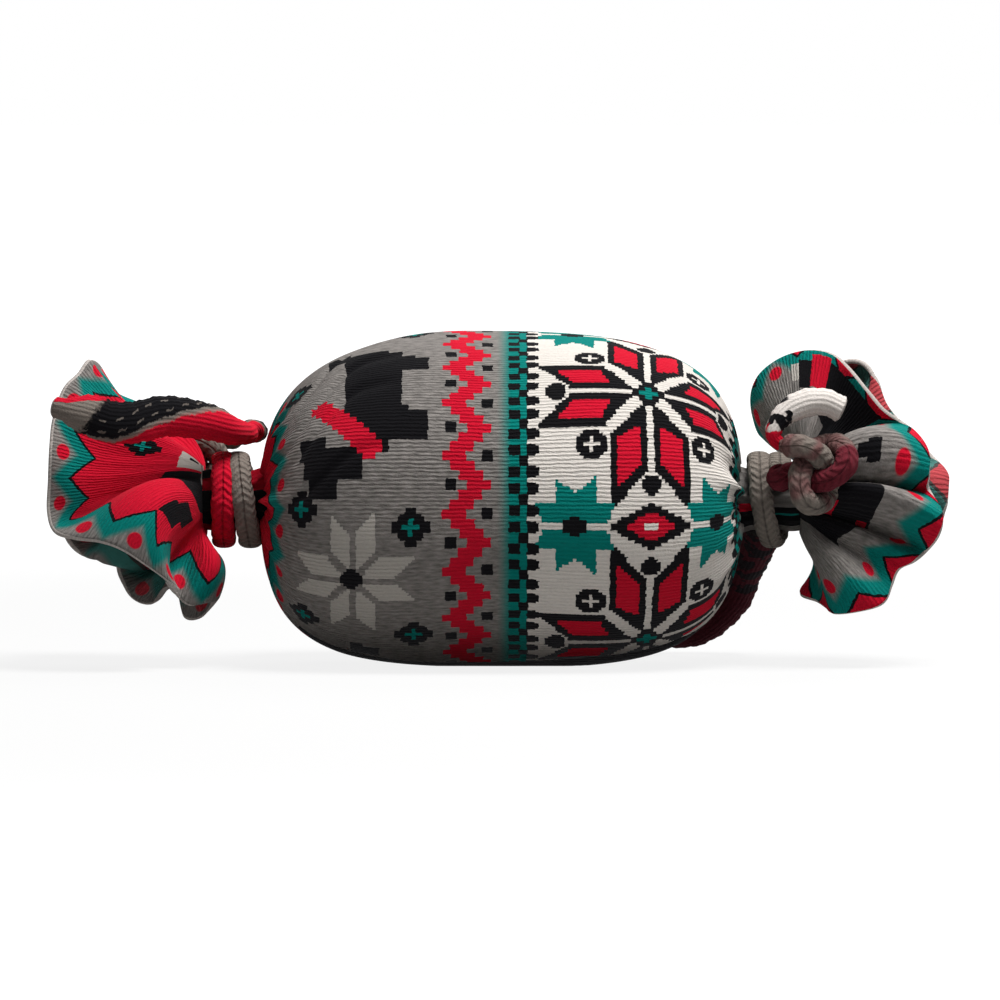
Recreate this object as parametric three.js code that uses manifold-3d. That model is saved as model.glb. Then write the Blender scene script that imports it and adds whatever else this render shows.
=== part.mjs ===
// A catnip toy in the form of a wrapped sweet: one rectangle of printed fleece rolled round fibre filling
// and catnip, gathered at both ends, and tied there with strips cut from the same cloth.
// Millimetres. +X runs along the toy, -Y faces the viewer, +Z is up, and the origin is the middle of the
// flat underside on which the toy rests.
import * as THREE from "three";
import { mergeVertices } from "three/addons/utils/BufferGeometryUtils.js";
import Module from "manifold-3d";

const wasm = await Module();
wasm.setup();

// Driving sizes of the stuffed body
const barrelLength = 111;
const barrelDiameter = 76.4;
const barrelExponent = 2.6;
const clothThickness = 1.2;
const restingCut = 0.5;
const seatGap = 0.3;

// The lap of the rolled cloth, in degrees of turn from its free edge
const freeEdgeAngle = -71;
const lapAngle = 24;
const dipStartAngle = 348;
const dipEndAngle = 358;
const lapGap = 0.3;

// The neck, where the cloth is gathered, and its two bending places
const neckRadius = 6.6;
const neckRootRadius = 7.6;
const neckTipRadius = 7;
const swingClearance = 1.4;
const nodClearance = 0.4;

// The tie strip, rolled up by its own stretch
const strandDiameter = 4.2;
const strandGap = 0.45;
const leftWindingTurn = 580;
const rightWindingTurn = 455;
const windingEndAngle = 73;
const windingEndRoomAngle = 32;
const windingLead = 7.6;

// The knot
const knotStrandDiameter = 3.3;
const knotLobe = 2.65;
const knotDepthRatio = 1.4;
const leftKnotOut = 1.5;
const rightKnotOut = 5;
const knotFront = 17.2;
const knotUp = 7.8;

// The cut ends of the tie strips
const tailWidth = 7.6;
const tailThickness = 1.6;
const tailRootWidth = 2.6;
const tailRootGap = 0.55;
const tailLead = 2;
const tailSpread = 15;

// The ruffles beyond the ties
const ruffleReach = 40;
const ruffleRootAngle = 70;
const ruffleKneeOut = 6;
const ruffleKneeRadius = 13;
const pleatCount = 13;
const pleatDepth = 1.9;

// The catnip in the middle of the filling
const catnipLength = 22;
const catnipDiameter = 36;

const colours = {
  heather: 0x96918c,
  ruffleRed: 0xc8102e,
  tieGrey: 0x8c827a,
  darkStrip: 0x2a1e20,
  fibre: 0xf2efe8,
  catnip: 0x6f7a3c,
};

// Worked-out sizes
const barrelRadius = barrelDiameter / 2;
const axisHeight = barrelRadius - restingCut;
const holeRadius = neckRootRadius + seatGap;
const holeAngle = Math.asin((holeRadius / barrelRadius) ** (barrelExponent / 2));
const neckRootX = (barrelLength / 2) * Math.cos(holeAngle) ** (2 / barrelExponent);
const strandRadius = strandDiameter / 2;
const strandPathRadius = neckRadius + seatGap + strandRadius;
const strandPitch = strandDiameter + strandGap;
const windingWidth = strandPitch + strandDiameter;
const neckTipX = neckRootX + swingClearance + windingWidth + nodClearance;
const firstPassOut = -nodClearance - windingWidth + strandRadius;
const degree = Math.PI / 180;

function smoothstep(low, high, value) {
  const share = Math.min(Math.max((value - low) / (high - low), 0), 1);
  return share * share * (3 - 2 * share);
}

// A closed surface from points and triangles, turned so that its faces point outwards.
function closedSurface(points, triangles) {
  const geometry = new THREE.BufferGeometry().setFromPoints(points);
  geometry.setIndex(triangles.flat());
  const corners = triangles.map((triangle) => triangle.map((index) => points[index]));
  const volume = corners.reduce((sum, [a, b, c]) => sum + a.dot(b.clone().cross(c)), 0);
  if (volume < 0) {
    geometry.setIndex(triangles.map(([a, b, c]) => [a, c, b]).flat());
  }
  return geometry;
}

// A cloth with thickness: two grids of points, joined along their open edges.
// wraps says that each row runs round and meets its own start.
function thickSheet(front, back, wraps) {
  const rows = front.length;
  const columns = front[0].length;
  const size = rows * columns;
  const points = [...front.flat(), ...back.flat()];
  const triangles = [];
  const at = (row, column) => row * columns + (column % columns);
  const quad = (a, b, c, d) => triangles.push([a, b, c], [a, c, d]);
  const spans = wraps ? columns : columns - 1;
  for (let row = 0; row < rows - 1; row += 1) {
    for (let column = 0; column < spans; column += 1) {
      const a = at(row, column);
      const b = at(row, column + 1);
      const c = at(row + 1, column + 1);
      const d = at(row + 1, column);
      quad(a, b, c, d);
      quad(size + d, size + c, size + b, size + a);
    }
  }
  for (let column = 0; column < spans; column += 1) {
    const first = at(0, column);
    const second = at(0, column + 1);
    const third = at(rows - 1, column);
    const fourth = at(rows - 1, column + 1);
    quad(second, first, size + first, size + second);
    quad(third, fourth, size + fourth, size + third);
  }
  if (!wraps) {
    for (let row = 0; row < rows - 1; row += 1) {
      const first = at(row, 0);
      const second = at(row + 1, 0);
      const third = at(row, columns - 1);
      const fourth = at(row + 1, columns - 1);
      quad(first, second, size + second, size + first);
      quad(fourth, third, size + third, size + fourth);
    }
  }
  return closedSurface(points, triangles);
}

// The two faces of a cloth, half its thickness to each side of a grid of middle points.
function facesOfMiddle(middle, thickness, wraps) {
  const rows = middle.length;
  const columns = middle[0].length;
  const offset = (sign) =>
    middle.map((points, row) =>
      points.map((point, column) => {
        const next = wraps ? (column + 1) % columns : Math.min(column + 1, columns - 1);
        const before = wraps ? (column + columns - 1) % columns : Math.max(column - 1, 0);
        const along = middle[Math.min(row + 1, rows - 1)][column]
          .clone()
          .sub(middle[Math.max(row - 1, 0)][column]);
        const across = points[next].clone().sub(points[before]);
        const normal = across.cross(along).normalize();
        return point.clone().addScaledVector(normal, (sign * thickness) / 2);
      }),
    );
  return [offset(1), offset(-1)];
}

function toSolid(geometry) {
  const bare = geometry.clone();
  bare.deleteAttribute("normal");
  bare.deleteAttribute("uv");
  const merged = mergeVertices(bare);
  return new wasm.Manifold(
    new wasm.Mesh({
      numProp: 3,
      vertProperties: merged.attributes.position.array,
      triVerts: new Uint32Array(merged.index.array),
    }),
  );
}

function fromSolid(solid) {
  const mesh = solid.getMesh();
  const geometry = new THREE.BufferGeometry();
  geometry.setAttribute("position", new THREE.BufferAttribute(mesh.vertProperties, 3));
  geometry.setIndex(new THREE.BufferAttribute(mesh.triVerts, 1));
  return geometry;
}

function cut(geometry, ...tools) {
  const solid = tools.reduce((left, tool) => left.subtract(toSolid(tool)), toSolid(geometry));
  return fromSolid(solid);
}

function cloth(name, geometry, colour) {
  const material = new THREE.MeshStandardMaterial({ color: colour, roughness: 0.95, metalness: 0 });
  const mesh = new THREE.Mesh(geometry, material);
  mesh.name = name;
  return mesh;
}

// A point of the barrel at a meridian angle (0 at one end, 180 at the other) and an angle round the
// axis (0 faces the viewer, 90 is the top), sunk below the outer face by a depth along the normal.
function barrelPoint(meridian, around, depth) {
  const power = 2 / barrelExponent;
  const cosine = Math.cos(meridian);
  const sine = Math.max(Math.sin(meridian), 0);
  const alongShare = Math.sign(cosine) * Math.abs(cosine) ** power;
  const radiusShare = sine ** power;
  const slopeAlong = Math.sign(cosine) * Math.abs(alongShare) ** (barrelExponent - 1) / (barrelLength / 2);
  const slopeOut = radiusShare ** (barrelExponent - 1) / barrelRadius;
  const steepness = Math.hypot(slopeAlong, slopeOut);
  const x = (barrelLength / 2) * alongShare - (depth * slopeAlong) / steepness;
  const radius = barrelRadius * radiusShare - (depth * slopeOut) / steepness;
  return new THREE.Vector3(x, -radius * Math.cos(around), radius * Math.sin(around));
}

// Degrees of turn from the free edge at which the rolled cloth has its points.
// The two layers of the lap share their angles, so that their facets lie parallel.
const lapSteps = 3;
const roundSteps = 22;
const dipSteps = 3;

function evenly(from, to, steps) {
  return Array.from({ length: steps }, (_, step) => from + ((to - from) * step) / steps);
}

const turnAngles = [
  ...evenly(0, lapAngle, lapSteps),
  ...evenly(lapAngle, dipStartAngle, roundSteps),
  ...evenly(dipStartAngle, dipEndAngle, dipSteps),
  dipEndAngle,
  ...evenly(360, 360 + lapAngle, lapSteps),
  360 + lapAngle,
];
const meridianSteps = 14;
const meridianAngles = Array.from(
  { length: meridianSteps + 1 },
  (_, step) => holeAngle + ((Math.PI - 2 * holeAngle) * step) / meridianSteps,
);

// How far the rolled cloth has sunk below the outer layer at a turn from its free edge.
function dipAt(turn) {
  return (clothThickness + lapGap) * smoothstep(dipStartAngle, dipEndAngle, turn);
}

function clothRoll() {
  const layer = (extra) =>
    meridianAngles.map((meridian) =>
      turnAngles.map((turn) => {
        const around = (freeEdgeAngle + turn) * degree;
        const point = barrelPoint(meridian, around, dipAt(turn) + extra);
        const radius = Math.hypot(point.y, point.z);
        const kept = Math.max(radius, holeRadius);
        point.y *= kept / radius;
        point.z *= kept / radius;
        return point;
      }),
    );
  const roll = thickSheet(layer(0), layer(clothThickness), false);
  const floor = new THREE.BoxGeometry(barrelLength, barrelDiameter, barrelRadius);
  floor.translate(0, 0, -axisHeight - barrelRadius / 2);
  return cut(roll, floor);
}

// One half of the fibre filling, from the middle of the toy to one end, with room for the lap.
function fillingHalf(side) {
  const lapFade = lapAngle + (dipEndAngle - dipStartAngle);
  const full = turnAngles.filter((turn) => turn < 360);
  const rows = meridianAngles.filter((meridian) => meridian < Math.PI / 2 - degree);
  const depthAt = (turn) => {
    const overUnder = 1 - smoothstep(lapAngle, lapFade, turn);
    const dip = Math.max(dipAt(turn), (clothThickness + lapGap) * overUnder);
    return clothThickness + seatGap + dip;
  };
  const points = [barrelPoint(0, 0, clothThickness + seatGap)];
  rows.forEach((meridian) =>
    full.forEach((turn) =>
      points.push(barrelPoint(meridian, (freeEdgeAngle + turn) * degree, depthAt(turn))),
    ),
  );
  full.forEach((turn) => {
    const point = barrelPoint(Math.PI / 2, (freeEdgeAngle + turn) * degree, depthAt(turn));
    points.push(point.setX(seatGap / 2));
  });
  points.push(new THREE.Vector3(seatGap / 2, 0, 0));
  points.forEach((point) => {
    point.x *= side;
  });
  const columns = full.length;
  const last = points.length - 1;
  const triangles = [];
  full.forEach((_, column) => {
    const next = (column + 1) % columns;
    triangles.push([0, 1 + next, 1 + column]);
    for (let row = 0; row < rows.length; row += 1) {
      const a = 1 + row * columns + column;
      const b = 1 + row * columns + next;
      triangles.push([a, b, b + columns], [a, b + columns, a + columns]);
    }
    triangles.push([last, 1 + rows.length * columns + column, 1 + rows.length * columns + next]);
  });
  const neckRoom = new THREE.SphereGeometry(neckRootRadius + seatGap, 24, 12);
  neckRoom.translate(side * neckRootX, 0, 0);
  const catnipRoom = catnipShape(seatGap);
  return cut(closedSurface(points, triangles), neckRoom, catnipRoom);
}

function catnipShape(extra) {
  const shape = new THREE.SphereGeometry(1, 20, 12);
  shape.scale(
    catnipLength / 2 + extra,
    catnipDiameter / 2 + extra,
    catnipDiameter / 2 + extra,
  );
  return shape;
}

// The gathered neck: a ball in the end hole of the barrel, a stem under the tie, and a ball in the
// mouth of the ruffle. It lies along +X with the outer ball's centre at zero.
function neckShape() {
  const ballSteps = 6;
  const rootJoin = Math.acos(neckRadius / neckRootRadius);
  const tipJoin = Math.acos(neckRadius / neckTipRadius);
  const rootCentre = neckRootX - neckTipX;
  const arc = (centre, radius, from, to) =>
    Array.from({ length: ballSteps + 1 }, (_, step) => {
      const angle = from + ((to - from) * step) / ballSteps;
      return new THREE.Vector2(radius * Math.max(Math.cos(angle), 0), centre + radius * Math.sin(angle));
    });
  const profile = [
    ...arc(rootCentre, neckRootRadius, -Math.PI / 2, rootJoin),
    ...arc(0, neckTipRadius, -tipJoin, Math.PI / 2),
  ];
  const neck = new THREE.LatheGeometry(profile, 24);
  neck.rotateZ(-Math.PI / 2);
  return neck;
}

// The least gap between stretches of a tube that lie more than three diameters apart along it.
function leastGap(curve, diameter) {
  const pointsPerDiameter = 4;
  const count = Math.round((curve.getLength() / diameter) * pointsPerDiameter);
  const points = curve.getSpacedPoints(count);
  let least = Infinity;
  for (let one = 0; one <= count; one += 1) {
    for (let other = one + 3 * pointsPerDiameter; other <= count; other += 1) {
      least = Math.min(least, points[one].distanceTo(points[other]) - diameter);
    }
  }
  return least;
}

function strand(curve, diameter, steps, sides) {
  const corners = Array.from({ length: sides }, (_, side) => {
    const angle = (side / sides) * 2 * Math.PI;
    return new THREE.Vector2(Math.cos(angle), Math.sin(angle)).multiplyScalar(diameter / 2);
  });
  const shape = new THREE.Shape(corners);
  return new THREE.ExtrudeGeometry(shape, { steps, extrudePath: curve, bevelEnabled: false });
}

// The direction in which the winding leaves the neck for the knot.
const leadAngle = windingEndAngle * degree;
const leadDirection = new THREE.Vector3(0, -Math.sin(leadAngle), -Math.cos(leadAngle));

// Two passes of the strip round the neck. It climbs from one pass to the next where only one pass
// lies, and both ends run straight off the neck.
function windingCurve(windingTurn) {
  const pointsPerTurn = 24;
  const count = Math.round((windingTurn / 360) * pointsPerTurn);
  const points = Array.from({ length: count + 1 }, (_, step) => {
    const turn = (windingTurn * step) / count;
    const around = (windingEndAngle + windingTurn - turn) * degree;
    const climbStart = windingTurn - 360 + windingEndRoomAngle;
    const climb = smoothstep(climbStart, 360 - windingEndRoomAngle, turn);
    return new THREE.Vector3(
      firstPassOut + strandPitch * climb,
      -strandPathRadius * Math.cos(around),
      strandPathRadius * Math.sin(around),
    );
  });
  const startAngle = (windingEndAngle + windingTurn) * degree;
  const startDirection = new THREE.Vector3(0, Math.sin(startAngle), Math.cos(startAngle));
  points.unshift(points[0].clone().addScaledVector(startDirection, strandDiameter));
  points.push(points[count + 1].clone().addScaledVector(leadDirection, windingLead / 2));
  points.push(points[count + 1].clone().addScaledVector(leadDirection, windingLead));
  return new THREE.CatmullRomCurve3(points);
}

// An overhand knot: the strip comes in from the winding, runs round three lobes and leaves upwards.
function knotCurve(winding, knotOut) {
  const loopStart = 335;
  const loopEnd = 640;
  const loopSteps = 24;
  const entry = winding.getPoint(1).addScaledVector(leadDirection, seatGap);
  const inside = entry.clone().addScaledVector(leadDirection, knotStrandDiameter);
  const loops = Array.from({ length: loopSteps + 1 }, (_, step) => {
    const angle = (loopStart + ((loopEnd - loopStart) * step) / loopSteps) * degree;
    return new THREE.Vector3(
      knotOut + knotLobe * (Math.sin(angle) + 2 * Math.sin(2 * angle)),
      -knotFront - knotLobe * knotDepthRatio * Math.sin(3 * angle),
      knotUp + knotLobe * (Math.cos(angle) - 2 * Math.cos(2 * angle)),
    );
  });
  const leaving = loops[loopSteps].clone().sub(loops[loopSteps - 1]).normalize();
  const end = loops[loopSteps].clone().addScaledVector(leaving, knotStrandDiameter);
  return new THREE.CatmullRomCurve3([entry, inside, ...loops, end]);
}

// A tie strip's loose end: a ribbon that leaves its root straight and runs along further places,
// spread from the rolled strand to the strip's width. Its flat side looks in the facing direction.
function ribbon(root, places, facing, steps) {
  const lead = root.place.clone().addScaledVector(root.heading, tailLead);
  const curve = new THREE.CatmullRomCurve3([root.place, lead, ...places]);
  const length = curve.getLength();
  const columns = 2;
  const middle = Array.from({ length: steps + 1 }, (_, step) => {
    const share = step / steps;
    const centre = curve.getPointAt(share);
    const across = curve.getTangentAt(share).cross(facing).normalize();
    const spread = smoothstep(0, tailSpread, share * length);
    const width = tailRootWidth + (tailWidth - tailRootWidth) * spread;
    return Array.from({ length: columns + 1 }, (__, column) =>
      centre.clone().addScaledVector(across, width * (column / columns - 1 / 2)),
    );
  });
  return thickSheet(...facesOfMiddle(middle, tailThickness, false), false);
}

// Where the ruffles' cut edges run, as [out, front, up] shares of their reach, chosen by hand.
const leftRimShares = [
  [0.73, 0.07, 0.79],
  [0.88, 0.23, 0.62],
  [0.93, 0.33, 0.41],
  [0.93, 0.4, 0.16],
  [0.94, 0.5, -0.1],
  [0.88, 0.6, -0.29],
  [0.69, 0.68, -0.23],
  [0.49, 0.68, -0.14],
  [0.35, 0.65, -0.27],
  [0.23, 0.55, -0.48],
  [0.09, 0.38, -0.64],
  [0, 0.15, -0.52],
  [0.09, -0.05, -0.36],
  [0.24, -0.15, -0.43],
  [0.4, -0.23, -0.61],
  [0.56, -0.35, -0.44],
  [0.72, -0.33, -0.33],
  [0.8, -0.47, -0.1],
  [0.72, -0.63, 0.16],
  [0.76, -0.5, 0.41],
  [0.62, -0.3, 0.58],
  [0.67, -0.1, 0.71],
];
const rightRimShares = [
  [0.24, -0.15, 0.78],
  [0.39, 0, 0.67],
  [0.52, 0.13, 0.51],
  [0.63, 0.05, 0.41],
  [0.73, 0.2, 0.3],
  [0.78, 0.35, 0.16],
  [0.87, 0.2, 0.04],
  [0.82, 0.38, -0.13],
  [0.75, 0.3, -0.29],
  [0.61, 0.15, -0.43],
  [0.52, 0.3, -0.5],
  [0.39, 0.15, -0.62],
  [0.25, -0.05, -0.63],
  [0.15, -0.25, -0.54],
  [0.06, -0.4, -0.57],
  [0.08, -0.55, -0.36],
  [0.04, -0.7, -0.13],
  [-0.05, -0.6, 0.1],
  [-0.18, -0.65, 0.27],
  [-0.21, -0.6, 0.5],
  [-0.13, -0.5, 0.7],
  [0.04, -0.35, 0.79],
];

// Small pleats across a grid of middle points that wraps: a wave along the normal, deeper to the edge.
function pleated(middle) {
  const [raised] = facesOfMiddle(middle, 2 * pleatDepth, true);
  const rows = middle.length - 1;
  return middle.map((points, row) =>
    points.map((point, column) => {
      const wave = Math.sin((2 * Math.PI * pleatCount * column) / points.length);
      return point.clone().lerp(raised[row][column], (row / rows) * wave);
    }),
  );
}

// A ruffle: each line of the cloth leaves the neck's outer ball, passes a knee that holds it clear of
// the tie, and ends on the wavy cut edge. The lines leave the neck at angles halfway between even
// ones and those of the edge.
function ruffleShape(rimShares, side) {
  const columnsPerPlace = 4;
  const rows = 5;
  const columns = rimShares.length * columnsPerPlace;
  const places = rimShares.map(
    ([out, front, up]) => new THREE.Vector3(out, front, up).multiplyScalar(ruffleReach),
  );
  const rim = new THREE.CatmullRomCurve3(places, true);
  const seatRadius = neckTipRadius + seatGap + clothThickness / 2;
  const seatOut = seatRadius * Math.cos(ruffleRootAngle * degree);
  const rootRadius = seatRadius * Math.sin(ruffleRootAngle * degree);
  const edge = Array.from({ length: columns }, (_, column) => rim.getPoint(column / columns));
  const start = Math.atan2(edge[0].z, edge[0].y);
  let before = start;
  const angles = edge.map((point, column) => {
    const seen = Math.atan2(point.z, point.y);
    const turns = Math.round((before - seen) / (2 * Math.PI));
    before = seen + turns * 2 * Math.PI;
    const even = start - (2 * Math.PI * column) / columns;
    return (before + even) / 2;
  });
  const middle = Array.from({ length: rows + 1 }, (_, row) => {
    const share = row / rows;
    const rest = 1 - share;
    return edge.map((point, column) => {
      const cosine = Math.cos(angles[column]);
      const sine = Math.sin(angles[column]);
      const root = new THREE.Vector3(seatOut, rootRadius * cosine, rootRadius * sine);
      const knee = new THREE.Vector3(
        ruffleKneeOut,
        ruffleKneeRadius * cosine,
        ruffleKneeRadius * sine,
      );
      const place = root
        .multiplyScalar(rest * rest)
        .addScaledVector(knee, 2 * rest * share)
        .addScaledVector(point, share * share);
      return new THREE.Vector3(side * place.x, -place.y, place.z);
    });
  });
  return thickSheet(...facesOfMiddle(pleated(middle), clothThickness, true), true);
}

// Where the tie strips' loose ends run beyond their roots, as [out, front, up] shares of the ruffles'
// reach, chosen by hand.
const leftTailShares = [
  [-0.19, -0.37, 0.4],
  [-0.15, -0.24, 0.44],
  [-0.12, -0.08, 0.46],
  [-0.08, 0.12, 0.47],
  [0.08, 0.3, 0.5],
  [0.28, 0.42, 0.52],
  [0.48, 0.5, 0.51],
  [0.66, 0.55, 0.5],
  [0.8, 0.57, 0.53],
  [0.9, 0.55, 0.57],
];
const rightShortTailShares = [
  [-0.2, 0.42, 0.42],
  [-0.16, 0.4, 0.53],
  [-0.04, 0.39, 0.62],
  [0.12, 0.39, 0.66],
  [0.27, 0.39, 0.62],
  [0.37, 0.37, 0.54],
];
const rightTailShares = [
  [-0.17, -0.32, -0.18],
  [-0.2, -0.47, -0.28],
  [-0.29, -0.68, -0.43],
  [-0.36, -0.82, -0.57],
  [-0.49, -0.89, -0.69],
  [-0.62, -0.9, -0.77],
  [-0.76, -0.87, -0.78],
];

function placesOf(shares, side) {
  return shares.map(([out, front, up]) =>
    new THREE.Vector3(side * out, -front, up).multiplyScalar(ruffleReach),
  );
}

function body() {
  const group = new THREE.Group();
  group.add(cloth("cover_barrel", clothRoll(), colours.heather));
  group.add(cloth("filling_left_wad", fillingHalf(-1), colours.fibre));
  group.add(cloth("filling_right_wad", fillingHalf(1), colours.fibre));
  group.add(cloth("catnip", catnipShape(0), colours.catnip));
  return group;
}

// Where a loose end takes its root: the end of a strand, moved on by a gap that lets it lift.
function rootBeyond(curve, share) {
  const heading = curve.getTangent(share).multiplyScalar(share ? 1 : -1);
  const place = curve.getPoint(share).addScaledVector(heading, tailRootGap);
  return { place, heading };
}

function tie(name, knotOut, windingTurn) {
  const group = new THREE.Group();
  const winding = windingCurve(windingTurn);
  const knot = knotCurve(winding, knotOut);
  console.log(name + "_tie_winding least gap " + leastGap(winding, strandDiameter).toFixed(2) + " mm");
  console.log(name + "_tie_knot least gap " + leastGap(knot, knotStrandDiameter).toFixed(2) + " mm");
  const stepsPerDiameter = 1.5;
  const stepsOf = (curve, diameter) => Math.round((curve.getLength() / diameter) * stepsPerDiameter);
  group.add(cloth(name + "_neck", neckShape(), colours.heather));
  const windingMesh = strand(winding, strandDiameter, stepsOf(winding, strandDiameter), 6);
  group.add(cloth(name + "_tie_winding", windingMesh, colours.tieGrey));
  const knotMesh = strand(knot, knotStrandDiameter, stepsOf(knot, knotStrandDiameter), 6);
  group.add(cloth(name + "_tie_knot", knotMesh, colours.tieGrey));
  return { group, windingRoot: rootBeyond(winding, 0), knotRoot: rootBeyond(knot, 1) };
}

// The left tie is the right one turned half round the upright axis, so that its knot lies behind.
function leftEnd() {
  const group = new THREE.Group();
  const leftTie = tie("left", leftKnotOut, leftWindingTurn);
  leftTie.group.rotation.z = Math.PI;
  group.add(leftTie.group);
  group.add(cloth("left_ruffle", ruffleShape(leftRimShares, -1), colours.ruffleRed));
  const upright = new THREE.Vector3(0, 0, 1);
  const root = {
    place: leftTie.knotRoot.place.clone().applyAxisAngle(upright, Math.PI),
    heading: leftTie.knotRoot.heading.clone().applyAxisAngle(upright, Math.PI),
  };
  const facing = new THREE.Vector3(0, -1, 1);
  const tail = ribbon(root, placesOf(leftTailShares, -1), facing, 26);
  group.add(cloth("left_tie_tail", tail, colours.darkStrip));
  group.position.x = -neckTipX;
  return group;
}

function rightEnd() {
  const group = new THREE.Group();
  const rightTie = tie("right", rightKnotOut, rightWindingTurn);
  group.add(rightTie.group);
  group.add(cloth("right_ruffle", ruffleShape(rightRimShares, 1), colours.ruffleRed));
  const facing = new THREE.Vector3(0, -1, 0);
  const shortTail = ribbon(rightTie.knotRoot, placesOf(rightShortTailShares, 1), facing, 14);
  group.add(cloth("right_tie_short_tail", shortTail, colours.tieGrey));
  const tail = ribbon(rightTie.windingRoot, placesOf(rightTailShares, 1), facing, 20);
  group.add(cloth("right_tie_tail", tail, colours.darkStrip));
  group.position.x = neckTipX;
  return group;
}

const toy = new THREE.Group();
toy.add(body(), leftEnd(), rightEnd());
toy.position.z = axisHeight;

export default toy;
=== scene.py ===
"""A catnip toy in the form of a wrapped sweet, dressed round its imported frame.

One rectangle of printed knit cloth is rolled round a stuffed middle, gathered to a neck at each end, tied
there with strips cut from the same cloth, and flares beyond the ties as ruffles. Every shape is worked out
in millimetres, and becomes metres when its mesh is made. +X runs along the toy, -Y faces the viewer and +Z
is up. A cloth's UV map, "cloth", holds millimetres on the flat cloth: along the toy and round it, or along
a loose end and across it. On a rolled strip it holds millimetres along the strip and shares of a turn.
"""

from __future__ import annotations

import logging
import math
from collections.abc import Callable, Sequence
from dataclasses import dataclass, field
from enum import Enum

import bmesh
import bpy
import numpy as np
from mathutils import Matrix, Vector


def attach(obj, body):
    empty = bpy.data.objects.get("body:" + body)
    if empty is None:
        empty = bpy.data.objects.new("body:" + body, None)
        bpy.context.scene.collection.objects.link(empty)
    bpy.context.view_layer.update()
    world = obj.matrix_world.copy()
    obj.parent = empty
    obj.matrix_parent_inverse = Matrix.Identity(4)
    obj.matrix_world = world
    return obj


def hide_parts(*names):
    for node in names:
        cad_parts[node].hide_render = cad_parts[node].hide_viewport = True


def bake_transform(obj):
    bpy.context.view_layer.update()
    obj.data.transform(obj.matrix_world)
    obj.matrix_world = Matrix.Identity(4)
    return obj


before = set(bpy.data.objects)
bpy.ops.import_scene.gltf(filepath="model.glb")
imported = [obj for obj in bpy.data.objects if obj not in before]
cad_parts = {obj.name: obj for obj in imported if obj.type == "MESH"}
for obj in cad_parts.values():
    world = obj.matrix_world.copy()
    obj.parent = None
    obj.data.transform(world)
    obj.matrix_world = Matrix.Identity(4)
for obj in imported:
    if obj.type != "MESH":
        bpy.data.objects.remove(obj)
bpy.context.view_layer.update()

MM = 0.001
FULL_TURN = 2 * math.pi
LOG = logging.getLogger("catnip_toy")

# Sizes that several pieces share, in millimetres. The last three are measured on the flat cloth: how far its
# cut edges are from its middle, how far apart the motifs come again, and a period longer than the way round,
# for motifs that come once.

AXIS_HEIGHT = 37.7
CLOTH_THICKNESS = 1.2
RIB_PITCH = 0.93
RUFFLE_REACH = 40.0
CUT_EDGE = 133.0
MOTIF_PERIOD = 97.0
ONCE_ROUND = 262.0


# Numbers and curves


def smoothstep(low: float, high: float, value: np.ndarray) -> np.ndarray:
    """Rises from 0 at low to 1 at high, with no slope at either end: 3t^2 - 2t^3."""
    share = np.clip((value - low) / (high - low), 0, 1)
    return share * share * (3 - 2 * share)


def cubic(corners: Sequence[np.ndarray], share: np.ndarray) -> np.ndarray:
    """The smooth stretch from the second of four places in a row to the third.

    It leaves each of the two along the line between that place's own neighbours.

    Args:
        corners: the four places.
        share: how far along the stretch, 0 to 1.

    Returns:
        The points.
    """
    before, start, end, after = corners
    return 0.5 * (
        2 * start
        + (end - before) * share
        + (2 * before - 5 * start + 4 * end - after) * share**2
        + (3 * start - before - 3 * end + after) * share**3
    )


def closed_curve(places: np.ndarray, count: int) -> np.ndarray:
    """A smooth loop through places, which may have any number of coordinates.

    Args:
        places: points to pass through, one to a row.
        count: how many points to return, evenly spread over the stretches.

    Returns:
        The points, one to a row.
    """
    known = len(places)
    spot = np.arange(count) * known / count
    first = spot.astype(int)
    share = (spot - first)[:, None]
    return cubic([places[(first + step) % known] for step in (-1, 0, 1, 2)], share)


def open_curve(places: np.ndarray, count: int) -> np.ndarray:
    """A smooth line through places, with its points evenly spaced along it.

    Args:
        places: points to pass through, n x 3.
        count: how many points to return.

    Returns:
        The points, count x 3.
    """
    padded = np.vstack([2 * places[0] - places[1], places, 2 * places[-1] - places[-2]])
    fine = 12 * count
    spot = np.linspace(0, len(places) - 1, fine)
    first = np.minimum(spot.astype(int), len(places) - 2)
    share = (spot - first)[:, None]
    points = cubic([padded[first + step] for step in range(4)], share)
    run = run_along(points)
    wanted = np.linspace(0, run[-1], count)
    return np.stack([np.interp(wanted, run, points[:, axis]) for axis in range(3)], axis=1)


def run_along(points: np.ndarray) -> np.ndarray:
    """The distance run from the first point to each point of a line, or of each column of a grid."""
    steps = np.linalg.norm(np.diff(points, axis=0), axis=-1)
    return np.concatenate([np.zeros_like(steps[:1]), np.cumsum(steps, axis=0)])


def stacked(*coordinates: np.ndarray | float) -> np.ndarray:
    """Points from their coordinates, each of which may be the same along an axis."""
    return np.stack(np.broadcast_arrays(*coordinates), axis=-1)


def unit(vectors: np.ndarray) -> np.ndarray:
    """The vectors at length one."""
    return vectors / np.maximum(np.linalg.norm(vectors, axis=-1, keepdims=True), 1e-9)


def carried_axes(points: np.ndarray, hint: Sequence[float]) -> tuple[np.ndarray, np.ndarray]:
    """Two axes square to a line at each of its points, which stay near a hint direction.

    Args:
        points: the line, n x 3.
        hint: the direction that the second axis follows as closely as it can.

    Returns:
        The sideways axis and the facing axis, each n x 3.
    """
    along = unit(np.gradient(points, axis=0))
    side = unit(np.cross(along, np.asarray(hint, float)))
    return side, np.cross(side, along)


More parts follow.
